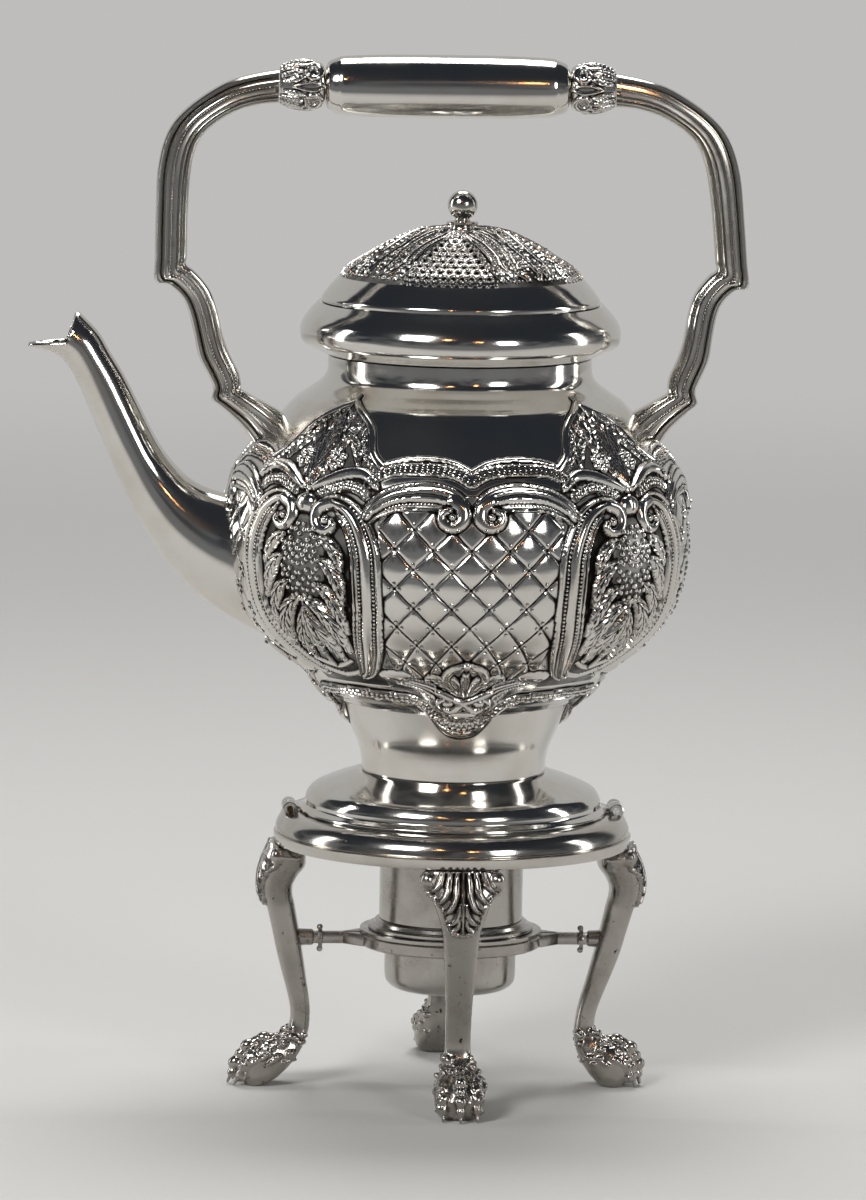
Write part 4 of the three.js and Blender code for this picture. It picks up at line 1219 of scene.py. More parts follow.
    def side_panel(self) -> None:
        """Chases the leaves round the fruit, on a sunk and matted ground."""
        sheet = self.sheet
        low, high = self.side_up
        inside = (sheet.across > self.leaf_from * self.belly.step) & (sheet.up > low) & (sheet.up < high)
        sheet.height[inside] -= self.side_sunk
        sheet.matt[inside] = 1
        middle = self.middle * self.belly.step
        wide, tall = self.swell_radii
        swell = np.hypot((sheet.across - middle) * sheet.stretch_across / wide,
                         (sheet.up - self.swell_up) / tall)
        sheet.height += self.swell_rise * np.sqrt(np.clip(1 - swell ** 2, 0, 1)) * inside
        for spine, tall, veins in (
            (((41, 213, 0.8), (38, 211.5, 2.2), (35.4, 207.5, 2.4), (33.6, 202, 0.8)), 1.9, 0.3),
            (((40.6, 205.5, 0.8), (37.6, 203, 2.6), (35, 197.5, 2.8), (33.4, 190, 1.0)), 2.0, 0.36),
            (((41.6, 196, 0.8), (38.6, 193.5, 2.4), (35.8, 187.5, 2.7), (33.8, 179, 0.9)), 2.0, 0.36),
            (((45.4, 190.5, 1.0), (41.6, 187.5, 2.9), (38, 181, 3.4), (35.8, 171.5, 0.9)), 2.0, 0.4),
            (((46.5, 187, 1.2), (44.6, 180.5, 3.0), (41.8, 174, 3.0), (40.4, 167.5, 0.8)), 1.8, 0.4),
            (((46.5, 186, 1.2), (46.5, 178.5, 2.6), (46.5, 169.5, 0.8)), 2.1, 0.34),
        ):
            sheet.leaf(self.path(*spine), tall, veins)
        for spine in (((36.8, 163.2, 1.3), (41, 161.4, 1.6), (46.5, 160.4, 1.6)),
                      ((39, 166.6, 1.0), (42.6, 165, 1.2), (46.5, 164, 1.2))):
            sheet.rib(self.path(*spine), 1.0, 0.1)
        sheet.dome((46 * self.belly.step, 225), (4.2, 3.6), 2.1)
        self.filled(self.path(*self.cluster), 2.0, self.berry)

    def shoulder(self) -> None:
        """Chases the spray that climbs the shoulder between two panels."""
        sheet = self.sheet
        rim = self.path((25.5, 239), (30, 243.5), (33, 250.5), (36.5, 254.2), (41, 257), (46.5, 259.6))
        edge = np.array(rounded(rim))
        level_at = np.interp(sheet.across, edge[:, 0], edge[:, 1], left=0)
        low = np.interp(sheet.across, *np.array(self.path((25.5, 236), (34, 238), (46.5, 230))).T)
        inside = (sheet.up < level_at) & (sheet.up > low)
        sheet.height[inside] = 0.35
        sheet.matt[inside] = 1
        border = [(x, z, 1.3) for x, z in rim]
        sheet.rib(border, 0.8, 0.2)
        for spine, tall in (
            (((46.5, 231, 1.6), (46.5, 239, 4.2), (46.5, 247, 3.4), (46.5, 254, 1.2)), 1.7),
            (((43.6, 236, 1.0), (42.2, 243, 2.2), (39.6, 250, 2.0), (37.4, 252.6, 0.7)), 1.5),
            (((33.2, 239.4, 0.8), (34.6, 243, 1.9), (37.6, 246.8, 1.5), (39, 249, 0.6)), 1.3),
            (((29.2, 240, 0.6), (32, 242.6, 1.3), (34.4, 248, 1.2), (35.4, 251, 0.5)), 1.1),
            (((43.2, 250, 0.6), (43.6, 253.6, 1.5), (42.4, 256, 0.8)), 1.2),
        ):
            sheet.leaf(self.path(*spine), tall, 0.34, 3.6)
        centre = (40.6 * self.belly.step, 240.2)
        for petal in range(6):
            turn = (petal + 0.5) * math.pi / 3
            sheet.dome((centre[0] + 2.9 * math.cos(turn), centre[1] + 2.3 * math.sin(turn)), (1.6, 1.6), 1.9)
        sheet.dome(centre, (1.5, 1.5), 2.3)
        self.row_of_beads([(x + 2.4, z - 2.0, 1) for x, z in rim], 0, 1.9, 0.72, 0.2)

    def bands(self) -> None:
        """Chases the granule bands' beds, the crease and the smooth rib, and fills the bands."""
        sheet = self.sheet
        half_bed = [(-1, 0), (-0.96, 0.7), (-0.82, 0.9), (-0.72, 0.25)]
        bed = half_bed + [(-x, tall) for x, tall in reversed(half_bed)]
        for drawn, section, scale in (
            (self.upper_band, bed, 1.0), (self.side_band, bed, 1.0),
            (self.lower_band, [(x, tall + 1.0 + 0.2 * (x < 0)) for x, tall in bed], 1.15),
        ):
            path = self.path(*drawn)
            sheet.moulding(path, section, scale)
            for offset in (-0.36, 0.36):
                self.row_of_beads(path, offset, 2.0, self.granule, 0.28)
        crease = self.path((0, 238.6, 0.7), (5, 241.5, 0.8), (12, 242.6, 0.8), (20, 242, 0.8),
                           (25, 240.4, 0.6))
        sheet.rib(crease, 0.5, 0.0)
        sheet.moulding(self.path((25.8, 232.5, 1.4), (30, 236.5, 2.4), (35, 236.4, 2.5), (40, 234, 2.2),
                                 (44.5, 230.8, 1.2)),
                       [(-1, 0), (-0.8, 1.0), (-0.3, 1.9), (0.3, 1.9), (0.8, 1.0), (1, 0)])

    def frame_scroll(self) -> None:
        """Chases the S-scroll between the quilted panel and the side panel."""
        path = self.path(*self.frame_path)
        self.sheet.moulding(path, self.scroll_section)
        self.volute(((38.5, 225.6, 2.2), (41.6, 223.8, 2.5), (42.5, 220, 2.4), (41.2, 216.8, 2.2),
                     (38.8, 215.9, 1.9), (37, 217.6, 1.5), (37.4, 219.4, 1.1)), (39.4, 219.6))
        for offset in (-0.45, 0.46):
            self.row_of_beads(path, offset, self.pitch, self.pearl, part=(0.03, 0.86))

    def volute(self, spine: Path, eye: Point) -> None:
        """Raises a curled end round a button."""
        centre = (eye[0] * self.belly.step, eye[1])
        self.sheet.dome(centre, (5.2, 5.2), 0.5)
        self.sheet.rib(self.path(*spine), 2.0, 0.3)
        self.sheet.dome(centre, (1.7, 1.7), 2.1)

    def top_scroll(self) -> None:
        """Chases the C-scroll over the quilted panel."""
        path = self.path(*self.arch_path)
        self.sheet.moulding(path, self.arch_section)
        self.volute(((5, 228.3, 2.6), (2.6, 225.8, 2.8), (2.4, 222, 2.7), (4.6, 219.4, 2.3),
                     (7.2, 220.8, 2.0), (7.6, 223.8, 1.7), (5.8, 225.2, 1.3)), (5.0, 222.8))
        self.row_of_beads(path, 0.58, self.pitch, self.pearl, part=(0.2, 0.72))

    def cartouche(self) -> None:
        """Chases the bottom cartouche and the C-scrolls that run from it."""
        sheet = self.sheet
        reeds = [(-1, 0.2), (-0.9, 1.5), (-0.7, 1.9), (-0.52, 1.2), (-0.42, 1.2), (-0.2, 1.9), (0, 1.4),
                 (0.1, 1.3), (0.3, 1.7), (0.45, 1.0), (0.8, 0.9), (0.88, 1.4), (0.97, 1.0), (1, 0.2)]
        scroll = self.path((8.4, 151.6, 3.6), (9.6, 154.8, 3.7), (13, 157.4, 3.5), (18, 159.4, 3.0),
                           (22, 160.2, 2.6), (24.5, 160.4, 2.0))
        sheet.moulding(scroll, reeds)
        self.row_of_beads(scroll, -0.62, 1.2, 0.42, part=(0.3, 0.95))
        sheet.dome((25.3 * self.belly.step, 162.2), (6.6, 4.0), 2.4)
        self.fan()
        for spine, base in (
            (((10.4, 156.4, 1.3), (7, 154.2, 1.6), (3.4, 152.6, 1.7), (0.6, 152.2, 1.5)), 1.2),
            (((0, 151.8, 1.4), (2.8, 149.6, 1.6), (6, 148.8, 1.6), (9, 150, 1.6), (10.2, 152.4, 1.4),
              (8.6, 153.6, 1.0)), 1.6),
        ):
            sheet.rib(self.path(*spine), 1.6, base)
        sheet.dome((6.6 * self.belly.step, 152), (2.6, 2.2), 3.2)
        sheet.dome((0, 147), (5.6, 3.2), 3.4)

    def fan(self) -> None:
        """Chases the arched shell over the cartouche, with its petals and side lobes."""
        sheet = self.sheet
        sheet.dome((0, 159.6), (10.6, 9.6), 1.4)
        sheet.rib(self.path((7, 157.8, 1.4), (7, 162, 1.6), (4.4, 166.2, 1.7), (0, 167.6, 1.7)), 1.5, 0.7)
        hollow = np.hypot(sheet.across / 7.2, (sheet.up - 160) / 6.0) < 1
        sheet.height[hollow] = np.minimum(sheet.height[hollow], 0.5)
        for spine in (((0, 154.8, 0.9), (0, 160, 2.0), (0, 164, 1.2)),
                      ((1.2, 154.8, 0.8), (3.2, 159.4, 1.9), (4.4, 162.4, 1.0))):
            sheet.rib(self.path(*spine), 1.6, 0.5)
        side_lobe = self.path((2.2, 154.6, 0.8), (7.4, 159.6, 2.6), (11.4, 162, 2.4), (14, 160.6, 0.9))
        sheet.leaf(side_lobe, 1.5, 0.2)


def contains(corners: Grid, x: float, y: float) -> bool:
    """Whether a point lies inside a polygon."""
    inside = False
    for (x0, y0), (x1, y1) in zip(corners, np.roll(corners, -1, axis=0)):
        if (y0 > y) != (y1 > y) and x < x0 + (x1 - x0) * (y - y0) / (y1 - y0):
            inside = not inside
    return inside


@dataclass
class PlainShell:
    """The plain waist and neck and the kettle's inside, which runs behind the chased sheet."""

    belly: Belly
    wall: float = 1.6
    behind: float = 2.4
    lap: float = 0.6
    blend: float = 3.0
    steps: int = 40

    def build(self, finishes: Finishes) -> None:
        """Turns the shell."""
        outline = self.belly.outline
        low, high = self.belly.chased_from + self.lap, self.belly.chased_to - self.lap
        waist = [tuple(p) for p in outline if p[1] < low]
        waist.append((float(self.belly.plain_radius(low)), low))
        neck = [(float(self.belly.plain_radius(high)), high)]
        neck += [tuple(p) for p in outline if p[1] > high]
        inner = inside_of([tuple(p) for p in outline], self.wall + self.behind, 2)
        middle = [(float(self.belly.plain_radius(z)) - self.behind, z)
                  for z in np.linspace(low, high, self.steps)]
        ends = [(outline[-1][0] - self.wall, outline[-1][1]), (outline[-1][0] - self.wall, high)]
        inner = [p for p in inner if low + self.blend < p[1] < high - self.blend]
        start = [(outline[0][0] - self.wall, low), (outline[0][0] - self.wall, outline[0][1])]
        bm = turned(waist + middle + neck + ends + inner + start)
        finished(bm, "kettle_shell", Body.KETTLE, finishes.bright)


@dataclass
class Foot:
    """The spread foot under the waist."""

    bottom: float
    radius: float = 57.0
    height: float = 14.9
    wall: float = 1.5
    seat: float = 32.4

    shares = [(1, 0), (1, 0.05), (0.985, 0.1), (0.966, 0.16), (0.963, 0.22), (0.961, 0.302), (0.947, 0.43),
              (0.912, 0.584), (0.8, 0.779), (0.667, 0.953), (0.63, 1)]

    def build(self, finishes: Finishes) -> None:
        """Turns the foot."""
        outline = rounded(scaled(self.shares, self.radius, self.bottom, self.height), 4)
        inner = inside_of(outline, self.wall, 2)[1:-1]
        top = self.bottom + self.height
        profile = outline + [(self.seat, top), (self.seat, top - self.wall)]
        profile += inner + [(self.radius - self.wall, self.bottom)]
        finished(turned(profile), "foot_skirt", Body.KETTLE, finishes.bright, ["kettle_foot"])


@dataclass
class Collar:
    """The flared collar that takes the lid."""

    bottom: float
    radius: float = 59.2
    height: float = 19.3
    wall: float = 1.5
    mouth: float = 46.8
    neck: float = 48.6
    neck_wall: float = 1.6
    neck_gap: float = 0.3

    shares = [(0.86, 0.062), (0.912, 0.14), (0.98, 0.238), (1, 0.43), (0.986, 0.627), (0.944, 0.819),
              (0.889, 1)]

    def build(self, finishes: Finishes) -> None:
        """Turns the collar."""
        outline = rounded(scaled(self.shares, self.radius, self.bottom, self.height), 6)
        inner = inside_of(outline, self.wall, 2)[1:-1]
        top = self.bottom + self.height
        seat = self.neck - self.neck_wall
        profile = [(seat, self.bottom), (self.neck + self.neck_gap, self.bottom)] + outline
        profile += [(self.mouth, top), (self.mouth, top - self.wall)] + inner
        profile += [(seat, self.bottom + self.wall)]
        finished(turned(profile, 160), "collar", Body.KETTLE, finishes.bright, ["neck_collar"])


@dataclass
class Spout:
    """The hollow swan-neck spout with its notched mouth."""

    root_height: float
    root_radius: float = 68.03
    length: float = 91.1
    rise: float = 123.3
    width: float = 35.0
    wall: float = 1.3
    sides: int = 64

    root_share = 0.299
    shares = [
        (-0.044, 0, 0.022, 0.442, 1), (0.088, 0.05, 0.176, 0.454, 1), (0.209, 0.101, 0.242, 0.465, 0.943),
        (0.334, 0.172, 0.302, 0.483, 0.874), (0.437, 0.252, 0.357, 0.511, 0.789),
        (0.52, 0.345, 0.412, 0.553, 0.697), (0.584, 0.433, 0.459, 0.599, 0.629),
        (0.651, 0.538, 0.501, 0.653, 0.583), (0.722, 0.657, 0.56, 0.738, 0.526),
        (0.779, 0.755, 0.615, 0.815, 0.491), (0.829, 0.826, 0.663, 0.872, 0.474),
        (0.889, 0.87, 0.717, 0.938, 0.469), (1, 0.892, 0.8, 1, 0.434),
    ]
    notch = (0.846, 0.907)

    def place(self, out: float, up: float) -> Point:
        """A place in the XZ plane from shares of the length and the rise."""
        return (-self.root_radius - self.length * out, self.root_height + self.rise * up)

    def build(self, finishes: Finishes) -> None:
        """Lofts the spout, cuts its mouth and gives it a wall."""
        stations = []
        for low_out, low_up, high_out, high_up, across in rounded(self.shares, 5):
            stations.append((*self.place(low_out, low_up), *self.place(high_out, high_up),
                             self.width * across / 2))
        bm = lofted(rail_rings(stations, round_section(self.sides)), capped=False)
        lip, back = self.place(*self.shares[-1][:2]), self.place(*self.shares[-1][2:4])
        notch = self.place(*self.notch)
        normals = []
        for start, end in ((lip, notch), (notch, back)):
            along = Vector((end[0] - start[0], 0, end[1] - start[1])).normalized()
            normals.append((Vector((start[0], 0, start[1])), Vector((-along.z, 0, along.x))))
            bmesh.ops.bisect_plane(bm, geom=bm.verts[:] + bm.edges[:] + bm.faces[:],
                                   plane_co=normals[-1][0], plane_no=normals[-1][1], dist=WELD)
        cut = [face for face in bm.faces if all(
            (face.calc_center_median() - start).dot(normal) > 0 for start, normal in normals)]
        bmesh.ops.delete(bm, geom=cut, context="FACES")
        piece = finished(bm, "spout_tube", Body.KETTLE, finishes.bright, ["spout"])
        wall = piece.modifiers.new("wall", "SOLIDIFY")
        wall.thickness = self.wall * MM
        wall.offset = -1
        wall.use_even_offset = True


@dataclass
class Handle:
    """The fixed loop handle: two reeded arms, two sleeves and the grip."""

    grip_height: float
    root_height: float
    rise: float
    half_span: float = 109.4
    bar_depth: float = 10.4
    lean_share: float = 0.04
    lean_depth: float = 25.0
    grip_length: float = 89.6
    grip_radius: float = 11.72
    sleeve_length: float = 16.6
    sleeve_radius: float = 9.2
    gap: float = 0.3
    sunk: float = 0.45
    rod_bore: float = 3.5
    end_wall: float = 1.3

    root_share = 0.786
    grip_drop = 5.6
    arm_shares = [
        (0.569, 1, 0.569, 0.91), (0.665, 0.985, 0.639, 0.904), (0.759, 0.959, 0.718, 0.884),
        (0.874, 0.898, 0.8, 0.843), (0.944, 0.83, 0.843, 0.799), (0.98, 0.734, 0.867, 0.734),
        (0.991, 0.618, 0.882, 0.618), (0.998, 0.501, 0.889, 0.505), (1, 0.432, 0.892, 0.478),
        (0.956, 0.422, 0.863, 0.459), (0.912, 0.389, 0.818, 0.414), (0.89, 0.349, 0.794, 0.36),
        (0.874, 0.291, 0.777, 0.291), (0.861, 0.233, 0.756, 0.24), (0.831, 0.182, 0.726, 0.189),
        (0.814, 0.148, 0.719, 0.16), (0.82, 0.116, 0.718, 0.145), (0.793, 0.097, 0.69, 0.131),
        (0.726, 0.047, 0.628, 0.104), (0.676, -0.011, 0.58, 0.08), (0.603, -0.087, 0.512, 0.022),
    ]
    half_section = [
        (1, 0), (0.985, 0.3), (0.94, 0.52), (0.85, 0.66), (0.73, 0.67), (0.64, 0.54), (0.58, 0.4),
        (0.52, 0.5), (0.46, 0.78), (0.35, 0.97), (0.22, 1), (0.12, 0.86), (0.06, 0.66), (0, 0.6),
        (-0.28, 0.62), (-0.35, 0.68), (-0.4, 0.86), (-0.48, 0.94), (-0.55, 0.84), (-0.6, 0.62),
        (-0.66, 0.56), (-0.72, 0.68), (-0.82, 0.76), (-0.92, 0.64), (-0.98, 0.36), (-1, 0),
    ]
    sleeve_shares = [(0, 0.74), (0.08, 0.93), (0.28, 1), (0.62, 0.965), (0.86, 0.82), (1, 0.69)]
    grip_shares = [(-1, 0.564), (-0.985, 0.69), (-0.969, 0.764), (-0.906, 0.863), (-0.82, 0.93),
                   (-0.4, 0.988)]
    bead_lines = ((0.05, 0.66, 0.4, (0.02, 0.98)), (-0.64, 0.6, 0.34, (0.3, 0.98)))
    bead_pitch: float = 1.25

    def lean(self, height: float) -> float:
        """Drift towards the spout at a height."""
        return -self.lean_share * (height - self.root_height + self.lean_depth)

    def section(self) -> list[Point]:
        """The reeded section all the way round."""
        return self.half_section + [(u, -v) for u, v in reversed(self.half_section[1:-1])]

    def stations(self, side: int) -> Path:
        """Rails and half widths of one arm."""
        made = []
        for oo, ou, io, iu in rounded(self.arm_shares, 5):
            oz, iz = self.root_height + self.rise * ou, self.root_height + self.rise * iu
            made.append((side * self.half_span * oo + self.lean(oz), oz,
                         side * self.half_span * io + self.lean(iz), iz, self.bar_depth / 2))
        reach = self.grip_length / 2 + self.sleeve_length + 2 * self.gap
        start = self.lean(self.grip_height) + side * reach
        made[0] = (start, made[0][1], start, made[0][3], made[0][4])
        return made

    def build(self, finishes: Finishes) -> None:
        """Makes the arms, the sleeves and the grip."""
        for name, side in SIDES:
            bm = lofted(rail_rings(self.stations(side), self.section()))
            piece = finished(bm, "arm_" + name, Body.KETTLE, finishes.chased, ["handle_arm_" + name])
            settle_recess(piece, 1.1)
            finished(self.bead_rows(side), "arm_beads_" + name, Body.KETTLE, finishes.chased)
            self.sleeve(name, side, finishes)
        self.grip(finishes)

    def bead_rows(self, side: int) -> Mesh:
        """The lines of small beads along the grooves of one arm, front and rear."""
        stations = np.array(self.stations(side))
        places = []
        outer, inner = stations[:, :2], stations[:, 2:4]
        for share, out, radius, (start, end) in self.bead_lines:
            middle = (outer + inner) / 2 + (outer - inner) / 2 * share
            walked = np.concatenate([[0], np.cumsum(np.hypot(*np.diff(middle, axis=0).T))])
            for place in np.arange(start * walked[-1], end * walked[-1], self.bead_pitch):
                x, z = (float(np.interp(place, walked, middle[:, axis])) for axis in (0, 1))
                for face in (-1, 1):
                    y = face * out * self.bar_depth / 2
                    places.append((Vector((x, y, z)), Vector((0, face, 0)), radius))
        return beads(places)

    def sleeve(self, name: str, side: int, finishes: Finishes) -> None:
        """Makes one sleeve between an arm and the grip, with its volutes and leaves."""
        start = self.grip_length / 2 + self.gap
        outline = [(self.sleeve_radius * out - self.sunk, start + self.sleeve_length * along)
                   for along, out in rounded(self.sleeve_shares, 4)]
        core = [(r - self.sunk, z) for r, z in outline]
        near, far = core[0][1], core[-1][1]
        profile = [(self.rod_bore, near)] + core + [
            (0, far), (0, far - self.end_wall), (self.rod_bore, far - self.end_wall)]
        patch = TurnedPatch(outline, [z - start for _, z in outline], math.pi / 2, 60, 68)
        self.chase_sleeve(patch.sheet)
        panel = patch.panel(0.5)
        bm = joined([turned(profile, 64), outwards(copy_of(panel, Matrix.Identity(4))),
                     outwards(copy_of(panel, Matrix.Rotation(math.pi, 4, "Z")))])
        panel.free()
        about_x(bm, self.grip_height, self.lean(self.grip_height))
        if side < 0:
            moved(bm, Matrix.Translation((2 * self.lean(self.grip_height), 0, 0)) @ FLIP_X)
        finished(bm, "sleeve_" + name, Body.KETTLE, finishes.chased, ["grip_sleeve_" + name])

    def chase_sleeve(self, sheet: Sheet) -> None:
        """Chases a quarter of a sleeve: a drilled volute and leaves that run from it to the arm."""
        for spine, tall in (
            (((3.4, 7.6, 0.5), (3.0, 10.6, 1.3), (2.2, 14.6, 0.8)), 0.9),
            (((5.8, 8.2, 0.5), (5.8, 11, 1.4), (5.2, 15.4, 0.9)), 0.9),
            (((8.4, 7.4, 0.6), (9.2, 10.6, 1.5), (8.8, 15.4, 1.0)), 0.9),
            (((11.6, 4.6, 0.6), (12.4, 9.6, 1.7), (12.2, 15.4, 1.1)), 0.8),
        ):
            sheet.leaf(spine, tall, 0.16, 1.5)
        sheet.rib(((0.3, 0.6, 0.5), (1.5, 4.0, 0.6), (1.0, 8.4, 0.55), (0.1, 11.6, 0.5)), 0.9, 0.1)
        eye = (5.8, 4.4)
        sheet.dome(eye, (3.9, 3.7), 0.7)
        ring = [(eye[0] + 2.9 * math.sin(t), eye[1] - 2.8 * math.cos(t), 0.75 - 0.06 * t)
                for t in np.linspace(-2.4, 3.2, 12)]
        sheet.rib(ring, 0.9, 0.5)
        sheet.drill(eye, 1.5, 2.2)
        length = self.sleeve_length
        ends = smoothed_step(0, 0.5, sheet.up) * (1 - smoothed_step(length - 0.5, length, sheet.up))
        sheet.height = sheet.height * ends - self.sunk * (1 - ends)

    def grip(self, finishes: Finishes) -> None:
        """Turns the plain grip."""
        half = self.grip_length / 2
        left = [(self.grip_radius * out, half * along) for along, out in self.grip_shares]
        outline = rounded(left + [(r, -x) for r, x in reversed(left)], 5)
        bm = turned([(self.rod_bore, -half)] + outline + [(self.rod_bore, half)], 96)
        about_x(bm, self.grip_height, self.lean(self.grip_height))
        finished(bm, "grip", Body.KETTLE, finishes.bright, ["handle_grip"])


@dataclass(kw_only=True)
class LidOrnament(Ornament):
    """What is chased on an eighth of the lid: a pitted wedge, two plumes and leaves on a matt ground."""

    patch: TurnedPatch
    pitch: float = 1.3
    pearl: float = 0.5
    cell: float = 3.3
    ground: float = -0.3
    lap: float = 0.7
    fade: float = 2.2
    sunk_edge: float = 0.12
    disc: float = 8.4

    wedge = [(10, 5), (16, 8), (24, 13), (34, 19), (44.4, 24)]
    plume_section = [(-1, -0.2), (-0.86, 0.6), (-0.66, 0.75), (-0.46, 0.1), (0.06, 0.1), (0.2, 0.8),
                     (0.5, 1.05), (0.8, 0.6), (1, -0.2)]

    def path(self, *points: tuple[float, ...]) -> Path:
        """A path in millimetres from one drawn in degrees and in radii."""
        start = float(self.patch.flat[0, 0])
        return [(math.radians(point[0]) * self.patch.girth, start - point[1], *point[2:]) for point in points]

    def chase(self) -> None:
        """Chases the crown from the ground up."""
        sheet = self.sheet
        start = float(self.patch.flat[0, 0])
        degrees = np.degrees(sheet.across / self.patch.girth)
        radii, widths = np.array(self.wedge).T
        sheet.height[:] = self.ground
        sheet.matt[:] = 1
        pitted = degrees < np.interp(start - sheet.up, radii, widths)
        sheet.honeycomb(pitted, self.cell, 0.5)
        rim = self.path(*[(width, r) for r, width in self.wedge])
        self.filled([(0, rim[0][1]), (0, rim[-1][1]), *reversed(rim)], 0.95, 0.36)
        self.beads = [bead for bead in self.beads
                      if float(lift_between(sheet, np.array([bead[0]]), np.array([bead[1]]))[0]) > 0.2]
        for spine, tall in (
            (((9, 21, 0.5), (15, 26, 1.4), (19.5, 32, 1.5), (21, 37.5, 0.6)), 0.8),
            (((20, 33, 0.5), (24, 37, 1.3), (26.5, 41, 1.3), (28, 43.4, 0.5)), 0.8),
            (((32, 26, 0.5), (33.2, 31, 1.5), (33, 36.5, 1.5), (35, 41.5, 0.6)), 0.9),
            (((22, 16, 0.4), (27, 20, 1.2), (33, 26, 1.3), (35.4, 31, 0.5)), 0.8),
            (((44, 26, 0.4), (44, 33, 1.2), (43.6, 38, 0.5)), 0.8),
        ):
            sheet.leaf(self.path(*spine), tall, 0.26, 2.6)
        for plume, part in (
            (((8, 14, 0.9), (15, 18.5, 1.5), (23.5, 24, 2), (28, 30.5, 2.2), (28.4, 36.5, 2),
              (31.6, 41, 1.5), (34.4, 42.8, 0.9)), (0.05, 0.85)),
            (((24, 9.5, 0.7), (33, 14.5, 1.2), (39, 21, 1.6), (40.4, 28, 1.9), (38.6, 34.5, 1.8),
              (38.6, 39.6, 1.4), (41.6, 42.4, 0.9)), (0.1, 0.85)),
        ):
            path = self.path(*plume)
            sheet.moulding(path, self.plume_section)
            self.row_of_beads(path, -0.2, self.pitch, self.pearl, part=part)
        self.filled(self.path((30, 36), (36, 42), (44.6, 42), (44.6, 30)), 1.9, 0.5)
        self.row_of_beads(self.path((0.5, 42.9, 1), (24, 42.9, 1), (44.6, 42.9, 1)), 0, 1.7, 0.5, 0.1)
        sheet.rib(self.path((0, 9.2, 1), (22, 9.2, 1), (45, 9.2, 1)), 0.5, 0.0)
        bare = start - sheet.up < self.disc
        sheet.height[bare] = 0.1
        sheet.matt[bare] = 0
        edge = smoothed_step(self.lap, self.lap + self.fade, sheet.up)
        sheet.height = sheet.height * edge - self.sunk_edge * (1 - edge)


@dataclass
class Lid:
    """The domed lid with its chased crown, bezel and finial."""

    bottom: float
    finial_bottom: float
    radius: float = 51.2
    height: float = 26.7
    wall: float = 1.4
    bezel_radius: float = 46.4
    bezel_wall: float = 1.2
    bezel_depth: float = 7.1

    shares = [(1, 0), (1, 0.05), (0.985, 0.1), (0.941, 0.21), (0.877, 0.348), (0.791, 0.491), (0.672, 0.629),
              (0.549, 0.772), (0.404, 0.91), (0.283, 0.985), (0.14, 1)]

    chased_radius: float = 44.4
    chased_end: float = 5.4
    turn: float = math.radians(-10)
    behind: float = 0.9
    bore: float = 1.9
    bezel_rise: float = 1.6
    stud: Point = (1.6, 7.1)
    ball_radius: float = 5.55
    ball_start: float = 0.5

    finial_height = 14.25
    disc_profile = [(4.4, 0), (4.3, 0.6), (4.0, 1.0), (4.4, 1.3), (5.6, 1.5), (6.0, 1.9), (6.0, 2.3),
                    (5.6, 2.7), (3.4, 2.9), (2.7, 3.4)]

    def build(self, finishes: Finishes) -> None:
        """Makes the dome, its chased crown, the bezel and the finial."""
        outline = rounded(scaled(self.shares, self.radius, self.bottom, self.height), 5)
        inner = inside_of(outline, self.wall, 2)[1:-1]
        top = self.bottom + self.height
        band = [point for point in outline if point[0] > self.chased_radius]
        under = [point for point in reversed(inside_of(outline, self.behind, 1))
                 if 3 < point[0] < self.chased_radius - 0.8]
        profile = band + under + [(self.bore, top - self.behind), (self.bore, top - self.wall)] + inner
        profile += [(self.radius - self.wall, self.bottom)]
        finished(turned(profile, 160), "dome", Body.LID, finishes.bright, ["lid_dome"])
        fine = rounded(scaled(self.shares, self.radius, self.bottom, self.height), 12)
        self.crown([point for point in fine
                    if self.chased_end < point[0] <= self.chased_radius + LidOrnament.lap], finishes)
        self.bezel(finishes)
        self.finial(finishes)

    def crown(self, outline: Outline, finishes: Finishes) -> None:
        """Chases the crown, which sits turned a little on the kettle as the photograph shows it."""
        patch = TurnedPatch(outline, [outline[0][0] - r for r, _ in outline], math.pi / 4, 96, 124)
        ornament = LidOrnament(patch.sheet, patch=patch)
        ornament.chase()
        panel = patch.panel(0.4)
        halves = both_halves(beads(bead_places(patch.sheet, patch.surface, ornament.beads)))
        for name, turns in (("front", (0, 1)), ("rear", (2, 3))):
            for kind, one in (("crown_", panel), ("crown_beads_", halves)):
                copies = [copy_of(one, quarter(turn, self.turn)) for turn in turns]
                whole = joined(upwards(bm) if one is panel else bm for bm in copies)
                finished(whole, kind + name, Body.LID, finishes.chased)
        panel.free()
        halves.free()

    def bezel(self, finishes: Finishes) -> None:
        """Turns the ring that enters the mouth."""
        inner, low = self.bezel_radius - self.bezel_wall, self.bottom - self.bezel_depth
        flange, top = self.radius - self.wall - 0.3, self.bottom + self.bezel_rise
        profile = [(inner, low), (self.bezel_radius, low), (self.bezel_radius, self.bottom),
                   (flange, self.bottom), (flange, top), (inner, top)]
        finished(turned(profile), "bezel", Body.LID, finishes.bright, ["lid_bezel"])

    def finial(self, finishes: Finishes) -> None:
        """Turns the ball on its disc."""
        z, r = self.finial_bottom, self.ball_radius
        ball_z = z + self.finial_height - r
        arc = [(r * math.sin(t), ball_z - r * math.cos(t)) for t in np.linspace(self.ball_start, math.pi, 24)]
        stud, deep = self.stud
        profile = [(0, z - deep), (stud, z - deep), (stud, z)]
        profile += [(out, z + up) for out, up in self.disc_profile] + arc
        profile[-1] = (0, ball_z + r)
        finished(turned(profile, 64), "ball_finial", Body.LID, finishes.bright, ["lid_finial"])


# The stand

